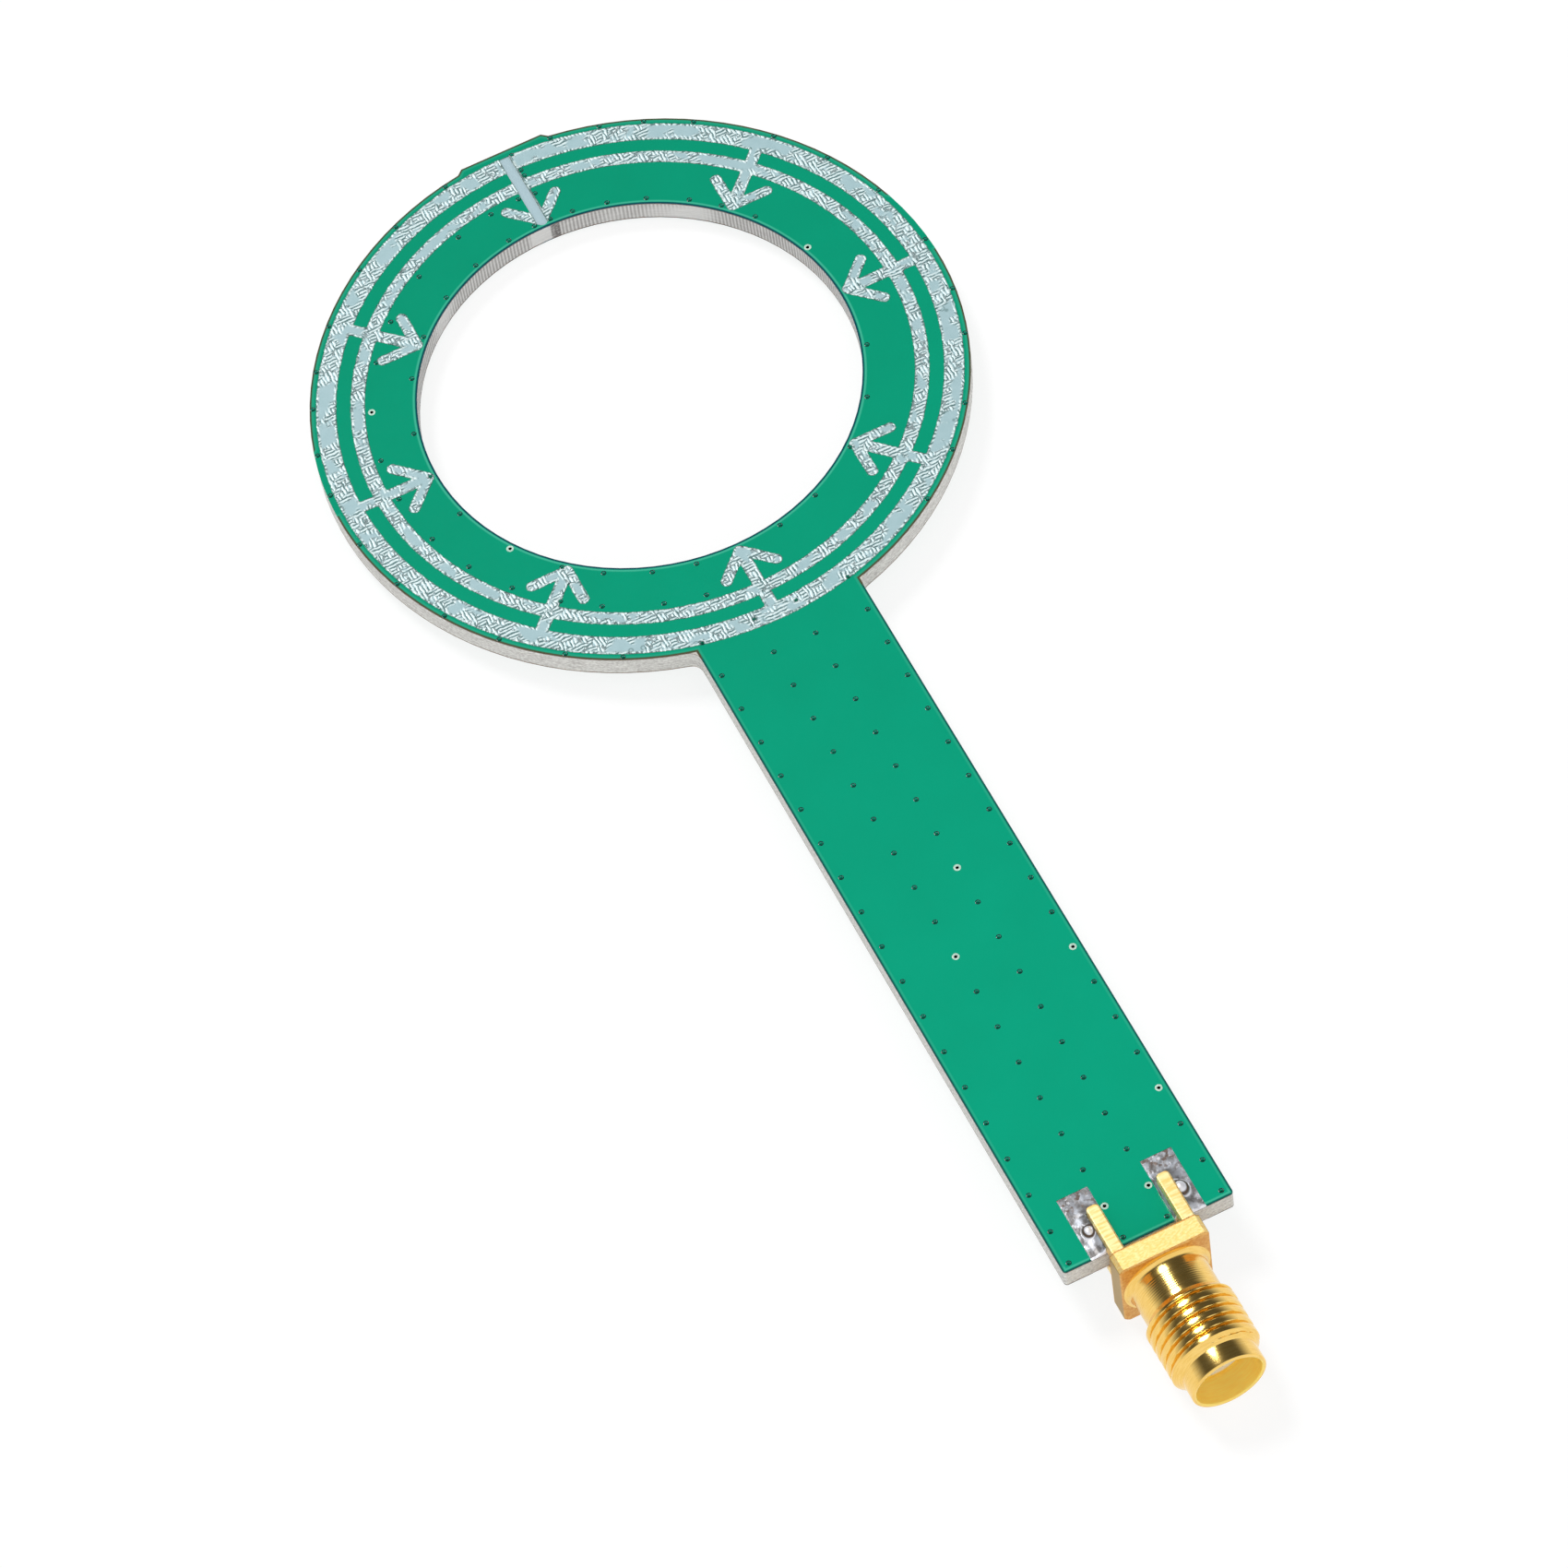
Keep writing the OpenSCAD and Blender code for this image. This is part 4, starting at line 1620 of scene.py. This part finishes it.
    def thread_loop(self, along: float) -> np.ndarray:
        """Draws one loop across the right-hand thread.

        Args:
            along: Distance in front of the flange's front face.

        Returns:
            The loop's points.
        """
        turns = along / self.thread_pitch - self.angles() / TURN
        from_crest = np.abs((turns + 0.5) % 1.0 - 0.5)
        groove = smooth_step(from_crest, *self.groove_band)
        fall = self.crest_round * from_crest**2 + self.groove_share * groove
        from_start = along - self.neck_length
        to_end = self.neck_length + self.thread_length - along
        opening = self.neck_radius + self.start_cone * from_start
        cone = min(opening, self.mouth_radius + self.end_cone * to_end)
        root = self.thread_radius - self.thread_depth
        crest = np.minimum(self.thread_radius - self.thread_depth * fall, max(cone, self.mouth_radius))
        floor = min(root, self.neck_radius + self.root_cone * max(from_start, 0.0))
        return self.loop(np.maximum(crest, min(floor, cone)), along)

    def flange_rows(self) -> list[tuple[np.ndarray, Gold]]:
        """Draws the flange's skin, from the seat in its back round to the neck.

        Returns:
            Loops, each with the finish between it and the next.
        """
        bevel, margin = self.flange_bevel, self.flat_margin
        back = -self.flange_thickness
        full = self.flange_outline(0.0)
        fillet_end = self.neck_radius + self.neck_fillet
        flat = np.maximum(self.flange_outline(bevel + margin), fillet_end + 0.1 * margin)
        edge = quarter_round(self.edge_steps)
        rounded = [(bevel * rise, self.flange_outline(bevel * inset)) for rise, inset in edge]
        return [
            (self.loop(self.seat_radius, back), Gold.SATIN),
            (self.loop(flat, back), Gold.SATIN),
            *((self.loop(outline, back + rise), Gold.FACED) for rise, outline in rounded),
            (self.loop(full, back + bevel + margin), Gold.SATIN),
            (self.loop(full, -bevel - margin), Gold.SATIN),
            *((self.loop(outline, -rise), Gold.FACED) for rise, outline in rounded[::-1]),
            (self.loop(flat, 0.0), Gold.FACED),
        ]

    def barrel_rows(self) -> list[tuple[np.ndarray, Gold]]:
        """Draws the neck's and the thread's skin, from the flange to the mouth.

        Returns:
            Loops, each with the finish between it and the next.
        """
        neck, fillet = self.neck_radius, self.neck_fillet
        loops = [
            self.loop(neck + fillet * inset, fillet * rise)
            for rise, inset in quarter_round(self.fillet_steps)
        ]
        steps = round((self.turned_to - self.turned_from) / self.turned_pitch * self.turned_steps)
        for along in np.linspace(self.turned_from, self.turned_to, steps):
            wave = math.sin(TURN * (along - self.turned_from) / self.turned_pitch)
            loops.append(self.loop(neck + self.turned_height * wave, float(along)))
        thread_end = self.neck_length + self.thread_length
        steps = round(self.thread_length / (self.thread_pitch / self.thread_steps))
        for along in np.linspace(self.neck_length, thread_end, steps):
            loops.append(self.thread_loop(float(along)))
        return [(loop, Gold.POLISHED) for loop in loops]

    def mouth_rows(self) -> list[tuple[np.ndarray, Gold]]:
        """Draws the mouth's rounded rim and the bore behind it.

        Returns:
            Loops, each with the finish between it and the next.
        """
        outer, inner, edge = self.mouth_radius, self.bore_radius, self.mouth_round
        mouth_end = self.back_y - self.flange_thickness - self.mouth_y
        bore_end = mouth_end - self.bore_depth
        steps = quarter_round(self.edge_steps)
        rounded = [(edge * inset, mouth_end - edge * drop) for inset, drop in steps]
        return [
            *((self.loop(outer - inset, along), Gold.POLISHED) for inset, along in rounded),
            *((self.loop(inner + inset, along), Gold.BORED) for inset, along in rounded[::-1]),
            (self.loop(inner, bore_end), Gold.BORED),
            (self.loop(self.seat_radius, bore_end), Gold.BORED),
        ]

    def leg_loops(self, side: Side, face: Face) -> list[np.ndarray]:
        """Draws one leg as a bar with a rounded tip and broken edges.

        Args:
            side: Side of the board.
            face: Face of the board.

        Returns:
            Loops from the pad outwards.
        """
        root_y = self.back_y - self.flange_bevel
        tip_y = self.leg_tip_y() - self.leg_tip_radius
        bevel = self.leg_bevel
        height = self.flange_side / 2 + self.axis_z - self.seat_z - self.leg_drop
        rounded = quarter_round(self.leg_bevel_steps)
        profile = [
            (0.0, 0.0),
            (0.0, height - bevel - self.flat_margin),
            *((bevel * inset, height - bevel * drop) for inset, drop in rounded),
            (bevel + self.flat_margin, height),
        ]
        loops = []
        for inset, rise in profile:
            half = self.leg_width / 2 - inset
            radius = self.leg_tip_radius - inset
            outline = [(-half, root_y), (half, root_y)]
            for middle, start in ((half - radius, 0.0), (radius - half, QUARTER)):
                for turn in np.linspace(start, start + QUARTER, self.leg_tip_steps):
                    outline.append((middle + radius * math.cos(turn), tip_y + radius * math.sin(turn)))
            z = (self.seat_z + rise) * face.value
            loops.append(np.array([(self.leg_x(side) + x, y, z) for x, y in outline[:: face.value]]))
        return loops

    def build(self) -> None:
        """Builds the shell and dresses the insulator and the contact."""
        sketch = MeshSketch()
        rows = self.flange_rows() + self.barrel_rows() + self.mouth_rows()
        sketch.add_loops([loop[::-1] for loop, _ in rows], [gold for _, gold in rows], ring=True)
        for side in Side:
            for face in Face:
                bar = self.leg_loops(side, face)
                sketch.add_loops(bar, [Gold.BRUSHED] * len(bar), capped=True)
        finishes = [self.satin, self.brushed, self.polished, self.bored, self.faced]
        sketch.piece("socket_shell", finishes, ["connector_shell"], self.sharp)
        paint_node("centre_contact", self.polished)
        paint_node("connector_insulator", self.fluoropolymer)


@dataclass(frozen=True)
class Bead:
    """Ball of solder at the outer side of a leg."""

    beside: float
    along: float
    radius: float


@dataclass
class GroundJoint:
    """Tinned ground pad with the solder that holds one leg: a fillet, a puddle and a bead."""

    plan: BoardPlan
    socket: EdgeSocket
    side: Side
    face: Face
    bead: Bead
    grid_step: float = 0.055
    fillet_rise: float = 0.5
    fillet_reach: float = 0.17
    fillet_noise: Pair = (0.45, 1.3)
    fillet_layer: float = 2.0
    inner_share: float = 0.55
    tip_share: float = 0.4
    bead_squash: float = 0.85
    bead_sink: float = 0.1
    bead_halo: float = 1.15
    puddle_rise: float = 0.05
    puddle_edge: Pair = (0.2, 0.75)
    mottle: tuple[Point, ...] = ((0.014, 2.2, 4.0), (0.008, 5.0, 7.0))
    under_margin: float = 0.02
    under_drop: float = 0.01
    ragged_inset: float = 0.02
    ragged_noise: Pair = (0.02, 2.4)
    ragged_layer: float = 5.0
    straight_end: float = 0.2
    rim_width: float = 0.1
    rim_drop: float = 0.008

    def name(self, kind: str) -> str:
        """Name of one of the joint's CAD nodes."""
        return f"{kind}_{self.face.name.lower()}_{self.side.name.lower()}"

    def from_bead(self, contour: Contour) -> np.ndarray:
        """Way from the bead's middle.

        Args:
            contour: The pad's filled outline.

        Returns:
            Distances in millimetres at its points.
        """
        x, y = contour.columns()
        socket = self.socket
        bead_x = socket.leg_x(self.side) + self.side.value * (socket.leg_width / 2 + self.bead.beside)
        bead_y = (self.plan.end_y + socket.leg_tip_y()) / 2 + self.bead.along
        return np.hypot(x - bead_x, (y - bead_y) * self.bead_squash)

    def rise(self, contour: Contour) -> np.ndarray:
        """Height of the solder over the pad.

        Args:
            contour: The pad's filled outline.

        Returns:
            Heights in millimetres at its points.
        """
        x, y = contour.columns()
        outwards = x - self.socket.leg_x(self.side)
        beside = np.abs(outwards) - self.socket.leg_width / 2
        beyond = y - self.socket.leg_tip_y()
        gap = np.hypot(np.maximum(beside, 0.0), np.maximum(beyond, 0.0))
        outer = np.where(outwards * self.side.value > 0, 1.0, self.inner_share)
        climb = self.fillet_rise * outer * np.where(beyond > 0, self.tip_share, 1.0)
        ragged = 1 + contour.sample((*self.fillet_noise, self.fillet_layer + self.side.value))
        meniscus = climb * ragged * np.exp(-gap / self.fillet_reach)
        puddle = self.puddle_rise * (1 - smooth_step(gap, *self.puddle_edge))
        ball = np.sqrt(np.maximum(self.bead.radius**2 - self.from_bead(contour) ** 2, 0.0))
        under = (beside < -self.under_margin) & (beyond < -self.under_margin)
        found = np.maximum(meniscus + puddle, ball - self.bead_sink) + contour.sample(*self.mottle)
        return np.where(under, -self.under_drop, found)

    def build(self) -> None:
        """Builds the joint."""
        pad = self.name("tinned_pad")
        low, _ = node_box(pad)
        x, y, depth = pad_grid(pad, self.grid_step)
        layer = self.ragged_layer * self.side.value
        ragged = self.ragged_inset + noise_layers(x, y, (*self.ragged_noise, layer))
        inset = np.where(y > low.y + self.straight_end, ragged, 0.0)
        contour = Contour(x, y, depth - inset, wrap=False)
        edge = contour.edge(self.rim_width)
        tops = self.plan.tin_top + edge * self.rise(contour) - self.rim_drop * (1 - edge)
        # Nearness to the bead, from which the finish paints the bead's highlight and its dark reflection
        # ring.
        nearness = np.maximum(0.0, 1 - self.from_bead(contour) / (self.bead_halo * self.bead.radius))
        sketch = MeshSketch()
        sketch.add_plate(contour, tops, self.plan.copper_top, self.face, {"bead": nearness})
        finish = SolderFinish("pad_solder_finish", self.plan)
        sketch.piece(self.name("ground_joint"), [finish], [pad, self.name("solder")])


@dataclass
class SignalJoint:
    """Solder between the centre contact's tail and its pad on the underside."""

    plan: BoardPlan
    socket: EdgeSocket
    grid_step: float = 0.05
    tail_radius: float = 0.42
    tail_length: float = 3.4
    reach: float = 0.2
    bare_end: Pair = (0.1, 0.5)
    mottle: Point = (0.01, 2.5, 11.0)
    rim_width: float = 0.1

    def build(self) -> None:
        """Builds the joint."""
        contour = Contour(*pad_grid("tinned_signal_pad", self.grid_step), wrap=False)
        x, y = contour.columns()
        beside = np.maximum(np.abs(x) - self.tail_radius, 0.0)
        beyond = np.maximum(y - self.socket.back_y - self.tail_length, 0.0)
        climb = -self.socket.axis_z - self.plan.tin_top
        wetted = smooth_step(y - self.plan.end_y, *self.bare_end)
        rise = climb * wetted * np.exp(-np.hypot(beside, beyond) / self.reach)
        tops = self.plan.tin_top + contour.edge(self.rim_width) * (rise + contour.sample(self.mottle))
        sketch = MeshSketch()
        sketch.add_plate(contour, tops, self.plan.copper_top, Face.BOTTOM, {})
        finish = SolderFinish("pad_solder_finish", self.plan)
        sketch.piece("signal_joint", [finish], ["tinned_signal_pad", "solder_signal"])


@dataclass
class Studio:
    """Camera, white table, sky that is bright in front and dark behind, and a lamp behind the probe."""

    plan: BoardPlan
    look_at: Point = (-5.324, -33.478, 0.0)
    distance: float = 499.08
    azimuth: float = -17.402
    elevation: float = 56.762
    roll: float = -10.02
    lens: float = 175.03
    sensor: float = 36.0
    clip: Pair = (0.01, 100.0)
    table_half: float = 3000.0
    front: Colour = (1.0, 1.0, 1.0, 1.0)
    front_band: Pair = (-0.35, 0.15)
    horizon: Colour = (0.85, 0.86, 0.88, 1.0)
    zenith: Colour = (0.09, 0.09, 0.09, 1.0)
    sky_band: Pair = (0.0, 0.6)
    lamp_from: Point = (-0.17, 0.52, 0.835)
    lamp_strength: float = 1.65
    lamp_spread: float = 18.0

    def build_camera(self) -> None:
        """Places the camera by its angles about the point that it looks at."""
        a, e, r = (math.radians(angle) for angle in (self.azimuth, self.elevation, self.roll))
        back = Vector((math.sin(a) * math.cos(e), -math.cos(a) * math.cos(e), math.sin(e)))
        level = Vector((math.cos(a), math.sin(a), 0.0))
        up = back.cross(level)
        right = level * math.cos(r) + up * math.sin(r)
        stand = (Vector(self.look_at) + back * self.distance) * MM
        columns = Matrix((right, back.cross(right), back)).transposed().to_4x4()
        data = bpy.data.cameras.new("camera")
        data.lens = self.lens
        data.sensor_width = self.sensor
        data.clip_start, data.clip_end = self.clip
        camera = add_object("camera", data)
        camera.matrix_world = Matrix.Translation(stand) @ columns
        bpy.context.scene.camera = camera

    def build_table(self) -> None:
        """Lays the white table against the flange's lower edge and the ring's far edge."""
        shell_low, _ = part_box("connector_shell")
        near = Vector((0.0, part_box("connector_insulator")[1].y, shell_low.z))
        far = Vector((0.0, self.plan.far_y * MM, -self.plan.mask_top * MM))
        along = (far - near).normalized() * self.table_half * MM
        across = Vector((self.table_half * MM, 0.0, 0.0))
        corners = [near + u * across + v * along for u, v in ((-1, -1), (1, -1), (1, 1), (-1, 1))]
        mesh = bpy.data.meshes.new("table")
        mesh.from_pydata(corners, [], [(0, 1, 2, 3)])
        mesh.materials.append(FloorFinish("table_finish").material())
        table = add_object("table", mesh)

    def build_light(self) -> None:
        """Makes the sky and one soft lamp."""
        world = bpy.data.worlds.new("studio")
        world.use_nodes = True
        bpy.context.scene.world = world
        sheet = Sheet(world.node_tree, "ShaderNodeOutputWorld")
        _, ahead, rise = sheet.parts(sheet.node("ShaderNodeTexCoord", {}, {}, "Generated"))
        sky = sheet.mix(rise.step(*self.sky_band), self.horizon, self.zenith)
        sky = sheet.mix(ahead.step(*self.front_band), self.front, sky)
        sheet.surface(sheet.node("ShaderNodeBackground", {}, {"Color": sky}))
        data = bpy.data.lights.new("lamp", "SUN")
        data.energy = self.lamp_strength
        data.angle = math.radians(self.lamp_spread)
        lamp = add_object("lamp", data)
        lamp.rotation_euler = Vector(self.lamp_from).to_track_quat("Z", "Y").to_euler()

    def build(self) -> None:
        """Builds the studio and sets the plain view transform."""
        self.build_camera()
        self.build_table()
        self.build_light()
        bpy.context.scene.view_settings.view_transform = "Standard"
        LOG.info("studio: camera, table, sky and lamp")


def main() -> None:
    """Builds the probe's looks in order."""
    logging.basicConfig(level=logging.INFO, format="%(name)s: %(message)s")
    plan = BoardPlan.from_frame()
    socket = EdgeSocket.from_frame(plan)
    Studio(plan).build()
    board = Board(plan)
    board.dress()
    board.build_lips()
    TinArtwork(plan).build()
    socket.build()
    beads = {
        Side.LEFT: Bead(beside=0.36, along=0.36, radius=0.46),
        Side.RIGHT: Bead(beside=0.26, along=0.34, radius=0.6),
    }
    for face in Face:
        for side in Side:
            GroundJoint(plan, socket, side, face, beads[side]).build()
    SignalJoint(plan, socket).build()


if __name__ == "__main__":
    main()
